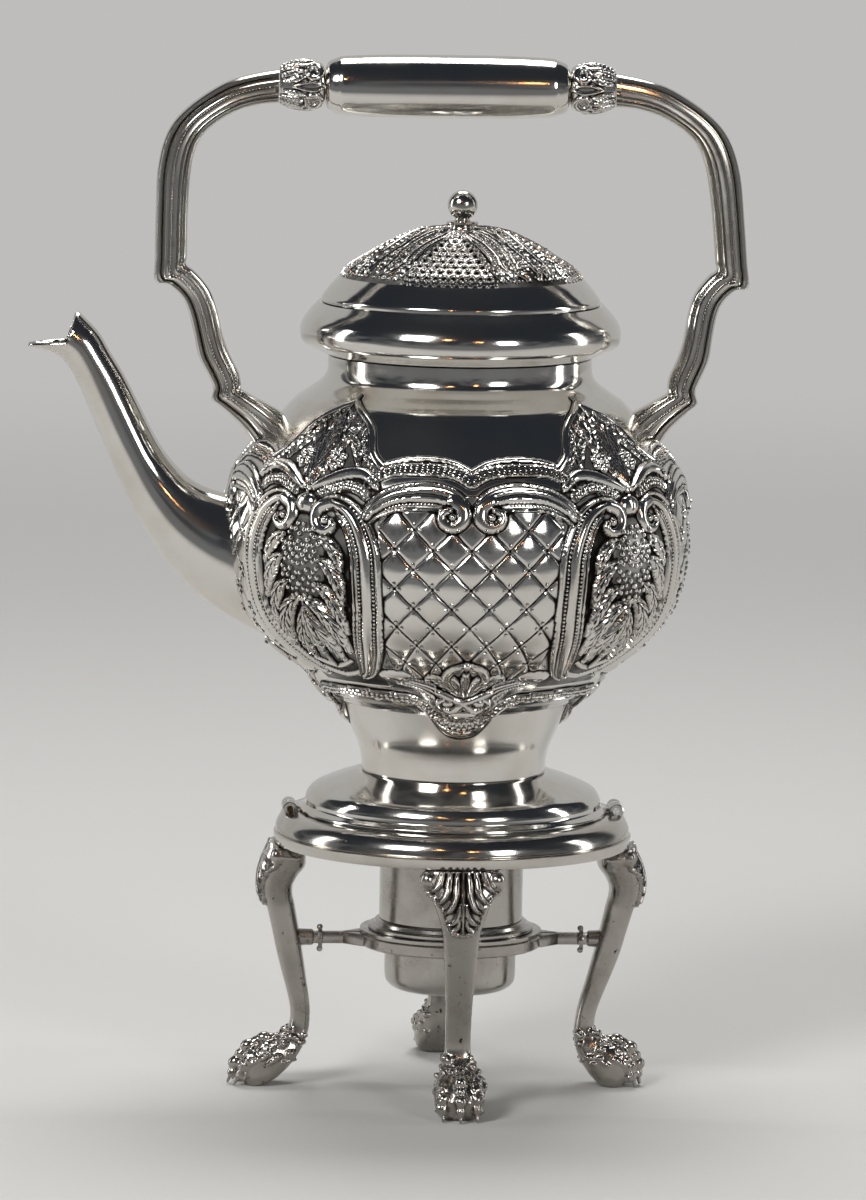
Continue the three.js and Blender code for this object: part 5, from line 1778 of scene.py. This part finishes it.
@dataclass
class StandRing:
    """The moulded ring on the legs, hollow underneath."""

    bottom: float
    radius: float = 66.3
    height: float = 11.7
    bore: float = 47.5
    wall: float = 3.0

    shares = [(0.965, 0), (0.995, 0.01), (1, 0.05), (1, 0.31), (0.99, 0.35), (0.979, 0.37), (0.982, 0.4),
              (0.992, 0.42), (0.989, 0.55), (0.982, 0.65), (0.961, 0.87), (0.935, 0.955), (0.872, 1)]

    def build(self, finishes: Finishes) -> None:
        """Turns the ring."""
        outline = scaled(self.shares, self.radius, self.bottom, self.height)
        skirt, top = self.radius - self.wall, self.bottom + self.height
        profile = [(skirt, self.bottom)] + outline + [
            (self.bore, top), (self.bore, top - self.wall), (skirt - self.wall, top - self.wall),
            (skirt, top - 2 * self.wall)]
        finished(turned(profile, 160), "ring", Body.STAND, finishes.worn, ["stand_ring"])


@dataclass
class Hinges:
    """Eyes on the stand and knuckles on the kettle, the same on both sides."""

    height: float
    reach: float = 60.6
    eye: float = 2.75
    bore: float = 1.4
    knuckle: float = 4.2
    eye_length: float = 4.6
    gap: float = 0.3
    soft: float = 0.35
    tab_reach: float = 57.9
    tab_size: Point = (1.6, 1.2)

    rise = 1.0

    def barrel(self, side: int, start: float, end: float) -> Mesh:
        """One rounded barrel between two distances along Y."""
        soft = self.soft
        profile = [(self.bore, start), (self.eye - soft, start), (self.eye, start + soft),
                   (self.eye, end - soft), (self.eye - soft, end), (self.bore, end)]
        return about_y(turned(profile, 40), side * self.reach, self.height)

    def build(self, finishes: Finishes) -> None:
        """Makes all barrels."""
        near = self.knuckle / 2 + self.gap
        for name, side in SIDES:
            for place, start in (("front", -near - self.eye_length), ("rear", near)):
                finished(self.barrel(side, start, start + self.eye_length), f"eye_{name}_{place}",
                         Body.STAND, finishes.worn, [f"stand_eye_{name}_{place}"])
            wide, tall = self.tab_size
            tab = block((side * self.tab_reach, 0, self.height - 0.1), (wide, self.knuckle, tall), 0.2)
            both = joined([self.barrel(side, -self.knuckle / 2, self.knuckle / 2), tab])
            finished(both, f"knuckle_{name}", Body.KETTLE, finishes.bright, [f"kettle_knuckle_{name}"])


@dataclass
class Legs:
    """Four cabriole legs with claw feet."""

    height: float
    reach: float = 79.3
    width: float = 31.6
    bend: float = 2.5

    shares = [
        (0.84, 1, 0.687, 1, 0.82), (0.848, 0.968, 0.685, 0.95, 1), (0.873, 0.925, 0.688, 0.908, 0.86),
        (0.89, 0.875, 0.719, 0.87, 0.68), (0.894, 0.826, 0.743, 0.826, 0.57),
        (0.886, 0.782, 0.743, 0.782, 0.49), (0.865, 0.742, 0.731, 0.742, 0.43),
        (0.836, 0.65, 0.709, 0.65, 0.39), (0.806, 0.547, 0.685, 0.552, 0.355),
        (0.77, 0.449, 0.661, 0.449, 0.31), (0.736, 0.361, 0.638, 0.361, 0.3),
        (0.719, 0.301, 0.627, 0.301, 0.295), (0.718, 0.252, 0.624, 0.235, 0.305),
        (0.734, 0.214, 0.636, 0.175, 0.355), (0.776, 0.188, 0.663, 0.12, 0.455),
        (0.825, 0.172, 0.711, 0.06, 0.555), (0.872, 0.154, 0.772, 0.013, 0.57),
        (0.91, 0.122, 0.845, -0.009, 0.5), (0.936, 0.084, 0.905, 0.014, 0.3),
    ]

    grain: float = 0.42
    seed: int = 11
    roundness: Point = (0.55, 0.72)
    volute: Path = ((64.6, 12.6, 87.7), (3.3, 3.0, 3.5))
    toe_shares = (1.1, 0.88, 0.95)
    toe_gather: float = 0.24
    claw_radii = (0.75, 0.75, 2.0)
    claw_lean: float = -0.3
    toe_rows = (
        (0, ((63.0, 17.2, 2.1), (65.8, 17.2, 2.6), (68.4, 15.9, 2.2), (71.2, 14.2, 2.8), (73.4, 11.2, 2.3),
             (75.0, 8.0, 2.7), (75.4, 4.4, 2.1))),
        (6.3, ((62.6, 13.8, 2.7), (66.0, 12.9, 3.1), (69.0, 10.9, 3.1), (71.2, 8.0, 3.1), (72.0, 4.6, 2.7))),
    )
    claws = ((0, 76.6, 1.9), (6.2, 74.4, 1.9))
    granules: int = 18
    granule: float = 0.5
    grain_size: Point = (0.8, 1.2)
    grain_depth: float = 0.98
    tuft_reach: Point = (50.0, 66.5)
    tuft_up: Point = (9.5, 21.0)
    tuft_open: Point = (3.4, 63.0)
    tuft_curls: int = 40
    curl_size: Point = (0.8, 1.25)
    curl_turn: Point = (-0.9, 0.9)
    curl_lift: float = 0.35
    curl_length: float = 1.9
    ridge = (52.0, 73.5, 1.3)
    ridge_radii = (1.3, 0.8, 0.75)
    knee_across: float = 17.0
    knee_cells: tuple[int, int] = (80, 116)
    knee_ground: float = 0.25
    legs = (("right", 0, -5.4), ("rear", 1, 0), ("left", 2, 5.4), ("front", 3, 0))
    cap_bottom: float = 66.6
    feathers = (
        ((0, 69.4, 0.7), (0, 76, 0.8), (0, 84, 0.7), (0, 91.6, 0.6)),
        ((1.9, 91.6, 0.9), (2.4, 86.2, 1.15), (2.8, 81.6, 1.2), (4.4, 78, 1.0), (6.6, 76.6, 0.5)),
        ((4.5, 91.6, 0.9), (5.2, 87, 1.25), (5.9, 83.4, 1.2), (7.4, 81, 0.9), (9.2, 80, 0.5)),
        ((7.3, 91.6, 0.9), (8.1, 88, 1.2), (9.2, 85.6, 1.0), (11.4, 84, 0.5)),
        ((1.2, 79.8, 0.5), (1.8, 76, 1.0), (3.3, 73.4, 1.0), (5.4, 72.8, 0.5)),
        ((1.1, 74.4, 0.5), (1.8, 71.8, 0.9), (3.6, 70.2, 0.6)),
    )
    cap_edge = ((0, 67.4), (2.6, 67.8), (4.6, 69), (5.8, 71.4), (6.4, 74), (7.4, 76.8), (8.8, 79.2),
                (10.6, 81.2), (12.6, 82.8), (16.4, 84.4))
    crest_pitch: float = 1.5

    def shaft(self) -> Mesh:
        """The bar of a leg that stands along X, from the knee to the pad of the paw."""
        stations = []
        for oo, ou, io, iu, across in rounded(self.shares, 4):
            stations.append((self.reach * oo, self.height * ou, self.reach * io, self.height * iu,
                             self.width * across / 2))
        along, over = self.roundness
        section = [(math.copysign(abs(u) ** along, u), math.copysign(abs(v) ** over, v))
                   for u, v in round_section(28)]
        return lofted(rail_rings(stations, section))

    def form(self) -> Mesh:
        """The whole leg as one casting: bar, volutes of the knee, toes, claws and tuft."""
        shaft = self.shaft()
        chance = random.Random(self.seed)
        parts = [shaft]
        (x, y, z), radii = self.volute
        parts += [ball((x, side * y, z), radii) for side in (-1, 1)]
        for across, toe in self.toe_rows:
            start, end = toe[0][0], toe[-1][0]
            for side in ((-1, 1) if across else (1,)):
                for x, z, radius in toe:
                    gathered = 1 - self.toe_gather + self.toe_gather * (x - start) / (end - start)
                    place = (x, side * across * gathered, z)
                    parts.append(ball(place, [radius * share for share in self.toe_shares]))
                    if across:
                        parts += self.granulated(place, radius, side, chance)
        lean = Matrix.Rotation(self.claw_lean, 4, "Y")
        for across, x, z in self.claws:
            for side in ((-1, 1) if across else (1,)):
                parts.append(ball((x, side * across, z), self.claw_radii, lean))
        parts += self.tuft(shaft, chance)
        return fused(joined(parts), self.grain, 1)

    def granulated(self, centre: Sequence[float], radius: float, side: int,
                   chance: random.Random) -> list[Mesh]:
        """Small balls on the outer and upper face of a side toe."""
        made = []
        for _ in range(self.granules):
            way = Vector((chance.uniform(-0.3, 1), side * chance.uniform(-0.5, 1), chance.uniform(-0.5, 1)))
            place = Vector(centre) + way.normalized() * radius * self.grain_depth
            made.append(ball(place, (self.granule * chance.uniform(*self.grain_size),) * 3, sides=8))
        return made

    def tuft(self, shaft: Mesh, chance: random.Random) -> list[Mesh]:
        """The curls over the paw and the wavy ridge between them and the pad."""
        shaft.normal_update()
        (inner, outer), (low, high), (gap, open_from) = self.tuft_reach, self.tuft_up, self.tuft_open
        ground = [vert for vert in shaft.verts if inner < vert.co.x < outer
                  and low < vert.co.z < high and vert.normal.z > 0
                  and (abs(vert.co.y) > gap or vert.co.x < open_from)]
        made = []
        for vert in (chance.choice(ground) for _ in range(self.tuft_curls)):
            size = chance.uniform(*self.curl_size)
            turn = Matrix.Rotation(chance.uniform(*self.curl_turn), 4, "Z")
            made.append(ball(vert.co + vert.normal * self.curl_lift,
                             (size * self.curl_length, size, size), turn, 10))
        rim = np.array([vert.co for vert in shaft.verts if vert.co.y > 0])
        start, end, step = self.ridge
        for x in np.arange(start, end, step):
            z = 10.2 + 0.5 * math.sin(x * 1.3) - 0.12 * max(x - 62, 0)
            near = rim[np.argmin((rim[:, 0] - x) ** 2 + (rim[:, 2] - z) ** 2 - 0.5 * rim[:, 1])]
            for side in (-1, 1):
                made.append(ball((near[0], side * near[1], near[2]), self.ridge_radii, sides=10))
        return made

    def chase_knee(self, bm: Mesh) -> None:
        """Raises the feathered leaf on the outer face of the knee."""
        columns, rows = self.knee_cells
        across, up = np.meshgrid(np.linspace(0, self.knee_across, columns),
                                 np.linspace(self.cap_bottom, self.height + 1, rows))
        sheet = Sheet(across, up, np.ones_like(across), np.ones_like(across))
        edge = np.array(rounded(self.cap_edge))
        over = sheet.up - np.interp(sheet.across, edge[:, 0], edge[:, 1])
        sheet.height += self.knee_ground * smoothed_step(-0.3, 0.7, over)
        for feather in self.feathers:
            sheet.rib(feather, 1.7, 0.2)
        crest = np.sqrt(np.clip(1 - ((over - 0.9) / 0.9) ** 2, 0, 1))
        crest *= 0.65 + 0.35 * np.sin(2 * math.pi * sheet.across / self.crest_pitch)
        lace = np.where(over < 1.8, 0.5 + crest, 0)
        sheet.height = np.maximum(sheet.height, lace * (over > 0))
        sheet.height *= smoothed_step(-0.3, 0.4, over)
        bm.normal_update()
        facing = [vert for vert in bm.verts if vert.co.z > self.cap_bottom and vert.normal.x > 0.1]
        places = np.array([(abs(vert.co.y), vert.co.z, vert.normal.x) for vert in facing])
        lifts = lift_between(sheet, places[:, 0], places[:, 1]) * smoothed_step(0.1, 0.45, places[:, 2])
        shifts = [vert.normal * float(lift) for vert, lift in zip(facing, lifts)]
        for vert, shift in zip(facing, shifts):
            vert.co += shift

    def build(self, finishes: Finishes) -> None:
        """Makes the four legs, each with the set that use gave it."""
        whole = self.form()
        self.chase_knee(whole)
        for name, turn, offset in self.legs:
            bm = whole.copy()
            for vert in bm.verts:
                depth = max(self.height - vert.co.z, 0) / self.height
                vert.co.x += offset * depth ** self.bend
                vert.co.z = min(max(vert.co.z, 0), self.height)
            moved(bm, quarter(turn))
            piece = finished(bm, "cabriole_leg_" + name, Body.STAND, finishes.cast, ["leg_" + name])
            settle_recess(piece, 0.5)
        whole.free()


@dataclass
class Burner:
    """The spirit burner and the ring that holds it."""

    ring_level: float
    flange_level: float
    cover_level: float
    jacket_level: float
    ring_radius: float = 33.7
    ring_height: float = 4.5
    ring_wall: float = 2.0
    arm_reach: float = 53.4
    arm_size: tuple[float, float] = (3.0, 4.4)
    root_length: float = 6.5
    root_half: float = 8.5
    cup_radius: float = 24.3
    cup_depth: float = 21.4
    wall: float = 1.2
    cover_radius: float = 30.6
    cover_rise: float = 3.6
    jacket_radius: float = 26.6
    jacket_height: float = 30.0
    wick_bore: float = 4.5
    steps: int = 96
    soft: float = 0.5
    boss_profile = [(0, 51.0), (2.5, 51.0), (3.0, 51.5), (3.2, 57), (0, 57)]

    def build(self, finishes: Finishes) -> None:
        """Makes the ring, the cup, the cover and the jacket."""
        self.ring(finishes)
        z, r = self.flange_level, self.cup_radius
        low = z - self.cup_depth
        cup = rounded([(0, low), (0.6 * r, low), (0.82 * r, low + 0.3), (0.95 * r, z - self.cup_depth * 0.9),
                       (r, z - self.cup_depth * 0.74), (r, z - 4), (r, z)], 4)
        cup_profile = cup + [(self.ring_radius, z), (self.ring_radius, z + self.wall),
                             (r - self.wall, z + self.wall)]
        cup_profile += inside_of(cup, self.wall, 3)[1:-1] + [(0, low + self.wall)]
        z, r, top = self.cover_level, self.cover_radius, self.cover_level + self.cover_rise
        cover_profile = [(r, z), (r, z + 1.1), (r - 0.9, z + 1.6), (r - 2.1, z + 1.8), (r - 2.4, z + 2.9),
                         (r - 3.4, top), (self.wick_bore, top), (self.wick_bore, top - self.wall),
                         (r - 4.6, top - self.wall), (r - 4.6, z)]
        z, r, top = self.jacket_level, self.jacket_radius, self.jacket_level + self.jacket_height
        jacket_profile = [(r - self.wall, z), (r, z), (r, top - 2.4), (r + 0.5, top - 1.5),
                          (r + 0.5, top - 0.6), (r, top), (r - self.wall, top)]
        for name, profile in (("cup", cup_profile), ("cover", cover_profile), ("jacket", jacket_profile)):
            finished(turned(profile, self.steps), name, Body.BURNER, finishes.smoked, ["burner_" + name])

    def root(self, side: int) -> Mesh:
        """The pointed root by which an arm leaves the strap ring."""
        near, far, low = self.ring_radius * 0.955, self.ring_radius + self.root_length, self.ring_level
        bm = bmesh.new()
        corners = [(near, -self.root_half), (far, -self.arm_size[0] / 2), (far, self.arm_size[0] / 2),
                   (near, self.root_half)]
        face = bm.faces.new([bm.verts.new((side * x, y, low)) for x, y in corners])
        made = bmesh.ops.extrude_face_region(bm, geom=[face])["geom"]
        bmesh.ops.translate(bm, vec=(0, 0, self.arm_size[1]),
                            verts=[item for item in made if isinstance(item, bmesh.types.BMVert)])
        bmesh.ops.bevel(facing_out(bm), geom=bm.edges[:], offset=0.4, segments=2, profile=0.5,
                        affect="EDGES", material=-1)
        return bm

    def ring(self, finishes: Finishes) -> None:
        """Makes the strap ring with its arms and sockets."""
        z, r, inner = self.ring_level, self.ring_radius, self.ring_radius - self.ring_wall
        soft, top = self.soft, z + self.ring_height
        profile = [(inner, z), (r - soft, z), (r, z + soft), (r, top - soft), (r - soft, top), (inner, top)]
        parts = [turned(profile, self.steps)]
        wide, tall = self.arm_size
        for side in (-1, 1):
            middle = side * (self.arm_reach + inner + 1) / 2
            parts.append(block((middle, 0, z + tall / 2), (self.arm_reach - inner - 1, wide, tall), soft))
            parts.append(self.root(side))
        finished(joined(parts), "burner_strap", Body.STAND, finishes.cast, ["burner_ring"])
        for name, side in SIDES:
            boss = about_x(turned(self.boss_profile, 40), z + tall / 2)
            if side < 0:
                moved(boss, FLIP_X)
            finished(boss, "socket_" + name, Body.STAND, finishes.cast, ["arm_socket_" + name])


@dataclass
class Clips:
    """Sprung wire clips with ball ends on the burner arms."""

    top: float
    reach: float = 48.6
    radius: float = 4.2
    wire: float = 0.75
    ball: float = 1.15
    half_turn: float = 0.29

    def build(self, finishes: Finishes) -> None:
        """Bends both clips."""
        centre = self.top - self.radius - self.wire
        half = 2 * math.pi * self.half_turn
        start = Matrix.Translation((0, -self.radius, 0)) @ Matrix.Rotation(math.pi / 2, 4, "Y")
        start @= Matrix.Rotation(math.pi / 2, 4, "X")
        for name, side in SIDES:
            bm = bmesh.new()
            bmesh.ops.create_circle(bm, segments=16, radius=self.wire, matrix=start)
            bmesh.ops.rotate(bm, verts=bm.verts[:], cent=(0, 0, 0), matrix=Matrix.Rotation(-half, 3, "X"))
            bmesh.ops.spin(bm, geom=bm.verts[:] + bm.edges[:], cent=(0, 0, 0), axis=(1, 0, 0),
                           angle=2 * half, steps=48)
            ends = [ball((0, -self.radius * math.cos(turn), -self.radius * math.sin(turn)), (self.ball,) * 3)
                    for turn in (-half, half)]
            whole = moved(joined([facing_out(bm), *ends]), Matrix.Translation((side * self.reach, 0, centre)))
            finished(whole, "clip_" + name, Body("clip_" + name), finishes.cast, ["ring_clip_" + name])


# The studio

@dataclass
class Studio:
    """A pale floor and backdrop with painted grey shade on the floor in front, soft lamps and the camera of
    the photograph.
    """

    focal_pixels: float = 7800.0
    picture: tuple[int, int] = (866, 1200)
    distance: float = 2886.0
    pitch: float = 7.5
    roll: float = 0.95
    yaw: float = 3.5
    target: tuple[float, float, float] = (-8.5, 0.0, 182.0)
    floor_size: float = 9.0
    back: float = 2.6
    turn: float = 1.2
    wall_height: float = 5.0
    floor_colour: str = "cfcecb"
    backdrop_colour: str = "bebdbb"
    fade: tuple[float, float] = (0.6, 2.6)
    front_shade: tuple[float, float] = (-0.35, -0.95)
    room_low: str = "77787a"
    room_high: str = "2c3036"
    front: float = 6.0
    blot_scale: float = 4.5
    blot_share: float = 1.5
    room_levels: Point = (0.5, 1.2)
    aim_height: float = 0.18
    sensor: float = 36.0

    lamp_table = (
        ("key", (-1.3, -1.7, 1.6), (0.8, 0.8), 34.0, "ffffff"),
        ("fill", (1.2, -2.0, 0.9), (0.5, 0.7), 12.0, "ffffff"),
        ("top", (0.1, 0.8, 2.1), (1.2, 1.0), 32.0, "ffffff"),
        ("strip_left", (-1.9, 0.3, 0.55), (0.22, 1.5), 8.0, "ffffff"),
        ("strip_right", (1.9, 0.1, 0.55), (0.22, 1.5), 7.0, "ffffff"),
        ("warm_left", (-0.5, -2.4, 1.7), (0.12, 0.06), 1.2, "ffb46e"),
        ("warm_right", (0.5, -2.5, 1.3), (0.1, 0.08), 1.0, "ffb46e"),
    )

    def build(self) -> None:
        """Sets the stage."""
        self.floor()
        self.lamps()
        self.camera()

    def floor(self) -> None:
        """Lays the floor with a curved rise behind."""
        bm = bmesh.new()
        back, turn = self.back, self.turn
        line = [(-self.front, 0.0)]
        line += [(back + turn * math.sin(t), turn - turn * math.cos(t))
                 for t in np.linspace(0, math.pi / 2, 24)]
        line += [(back + turn, self.wall_height)]
        verts = [bm.verts.new((-self.floor_size / 2, y, z)) for y, z in line]
        edges = [bm.edges.new(pair) for pair in zip(verts, verts[1:])]
        made = bmesh.ops.extrude_edge_only(bm, edges=edges)["geom"]
        bmesh.ops.translate(bm, vec=(self.floor_size, 0, 0),
                            verts=[item for item in made if isinstance(item, bmesh.types.BMVert)])
        upwards(facing_out(bm))
        for face in bm.faces:
            face.smooth = True
        mesh = bpy.data.meshes.new("floor")
        bm.to_mesh(mesh)
        bm.free()
        mesh.materials.append(self.paper())
        paper = bpy.data.objects.new("floor", mesh)
        bpy.context.scene.collection.objects.link(paper)

    def paper(self) -> bpy.types.Material:
        """Pale matt paper, which glows evenly bright far behind the object and glows a painted grey shade in
        front, for camera and glossy rays.
        """
        material, tree = new_material("pale_paper")
        where = add_node(tree, "TexCoord").outputs["Object"]
        depth = add_node(tree, "SeparateXYZ", links={"Vector": where}).outputs["Y"]
        far = add_node(tree, "MapRange", {"interpolation_type": "SMOOTHSTEP"}, {
            "From Min": self.fade[0], "From Max": self.fade[1]}, {"Value": depth}).outputs["Result"]
        # In front of the object the floor glows the dim room's grey, a painted shade seen by the camera and
        # in the silver.
        front_shade = add_node(tree, "MapRange", {"interpolation_type": "SMOOTHSTEP"}, {
            "From Min": self.front_shade[0], "From Max": self.front_shade[1]}, {"Value": depth}).outputs["Result"]
        plain = add_node(tree, "Math", {"operation": "MAXIMUM"}, links={0: far, 1: front_shade}).outputs[0]
        shade = add_node(tree, "Mix", {"data_type": "RGBA"}, {
            6: linear(self.backdrop_colour), 7: linear(self.room_low)}, {0: front_shade}).outputs[2]
        rays = add_node(tree, "LightPath").outputs
        seen = rays["Is Camera Ray"]
        for ray in ("Is Glossy Ray", "Is Transmission Ray"):
            seen = add_node(tree, "Math", {"operation": "MAXIMUM"}, links={0: seen, 1: rays[ray]}).outputs[0]
        share = add_node(tree, "Math", {"operation": "MULTIPLY"}, links={0: plain, 1: seen}).outputs[0]
        matt = add_node(tree, "BsdfPrincipled", sockets={
            "Base Color": linear(self.floor_colour), "Roughness": 0.9}).outputs["BSDF"]
        glow = add_node(tree, "Emission", sockets={"Strength": 1.0},
                        links={"Color": shade}).outputs["Emission"]
        both = add_node(tree, "MixShader", links={0: share, 1: matt, 2: glow}).outputs["Shader"]
        add_node(tree, "OutputMaterial", links={"Surface": both})
        return material

    def lamps(self) -> None:
        """Hangs soft lamps and leaves the room dim, so that the silver has darks to reflect."""
        for name, place, size, power, colour in self.lamp_table:
            light = bpy.data.lights.new(name, "AREA")
            light.shape = "RECTANGLE"
            light.size, light.size_y = size
            light.energy = power
            light.color = linear(colour)[:3]
            lamp = bpy.data.objects.new(name, light)
            lamp.location = place
            aim = Vector((AXIS_X, 0, self.aim_height)) - Vector(place)
            lamp.rotation_euler = aim.to_track_quat("-Z", "Y").to_euler()
            bpy.context.scene.collection.objects.link(lamp)
        bpy.context.scene.world = self.room()
        bpy.context.scene.view_settings.view_transform = "Standard"

    def room(self) -> bpy.types.World:
        """A dim room that is lighter near the ground than under its ceiling."""
        world = bpy.data.worlds.new("room")
        world.use_nodes = True
        tree = world.node_tree
        tree.nodes.clear()
        way = add_node(tree, "TexCoord").outputs["Generated"]
        height = add_node(tree, "SeparateXYZ", links={"Vector": way}).outputs["Z"]
        blots = add_node(tree, "TexNoise", sockets={"Scale": self.blot_scale, "Detail": 3.0},
                         links={"Vector": way})
        mixed = add_node(tree, "Math", {"operation": "MULTIPLY_ADD"}, {1: self.blot_share},
                         {0: blots.outputs["Fac"], 2: height}).outputs[0]
        shade = add_node(tree, "MapRange", {"interpolation_type": "SMOOTHSTEP"}, {
            "From Min": self.room_levels[0], "From Max": self.room_levels[1]},
            {"Value": mixed}).outputs["Result"]
        colour = add_node(tree, "Mix", {"data_type": "RGBA"}, {
            6: linear(self.room_low), 7: linear(self.room_high)}, {0: shade}).outputs[2]
        glow = add_node(tree, "Background", sockets={"Strength": 1.0}, links={"Color": colour})
        add_node(tree, "OutputWorld", links={"Surface": glow.outputs["Background"]})
        return world

    def camera(self) -> None:
        """Places the camera as the photograph's stood."""
        data = bpy.data.cameras.new("camera")
        data.sensor_width = self.sensor
        data.lens = self.focal_pixels * self.sensor / self.picture[1]
        pitch, yaw = math.radians(self.pitch), math.radians(self.yaw)
        back = Vector((0, -math.cos(pitch), math.sin(pitch)))
        turn = Matrix.Rotation(-yaw, 4, "Z")
        place = turn @ (Vector(self.target) + back * self.distance)
        look = turn @ (-back)
        up_turn = look.to_track_quat("-Z", "Y").to_matrix().to_4x4()
        up_turn @= Matrix.Rotation(math.radians(self.roll), 4, "Z")
        camera = bpy.data.objects.new("camera", data)
        camera.matrix_world = Matrix.Translation(place * MM + Vector((AXIS_X, 0, 0))) @ up_turn
        bpy.context.scene.collection.objects.link(camera)
        bpy.context.scene.camera = camera


def dress_cad(finishes: Finishes) -> None:
    """Gives the CAD nodes that stay in view their finishes."""
    for names, finish, slot in (
        (("kettle_bottom",), finishes.bright, Slot.SILVER),
        (("grip_rod", "finial_nut", "wick_tube"), finishes.brass, Slot.BRASS),
        (("hinge_pin",), finishes.dull_brass, Slot.BRASS),
        (("wick",), finishes.cotton, Slot.COTTON),
    ):
        for name in names:
            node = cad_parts[name]
            node.data.materials.clear()
            node.data.materials.append(finish)


def main() -> None:
    """Builds every piece of the kettle in order and reports each one."""
    logging.basicConfig(level=logging.INFO, format="%(message)s")
    finishes = make_finishes()
    belly = Belly()
    belly.build(finishes)
    PlainShell(belly).build(finishes)
    Foot(level("kettle_foot", False)).build(finishes)
    Collar(level("neck_collar", False)).build(finishes)
    Spout(belly.bottom + belly.height * Spout.root_share).build(finishes)
    root = belly.bottom + belly.height * Handle.root_share
    top = level("handle_arm_left", True)
    Handle(top - Handle.grip_drop, root, top - root).build(finishes)
    Lid(level("lid_dome", False), level("lid_finial", True) - Lid.finial_height).build(finishes)
    StandRing(level("stand_ring", False)).build(finishes)
    Hinges(level("stand_ring", True) + Hinges.rise).build(finishes)
    Legs(level("leg_front", True)).build(finishes)
    Burner(level("burner_ring", False), level("burner_cup", True) - Burner.wall,
           level("burner_cover", False), level("burner_jacket", False)).build(finishes)
    Clips(level("ring_clip_left", True)).build(finishes)
    dress_cad(finishes)
    Studio().build()


if __name__ == "__main__":
    main()
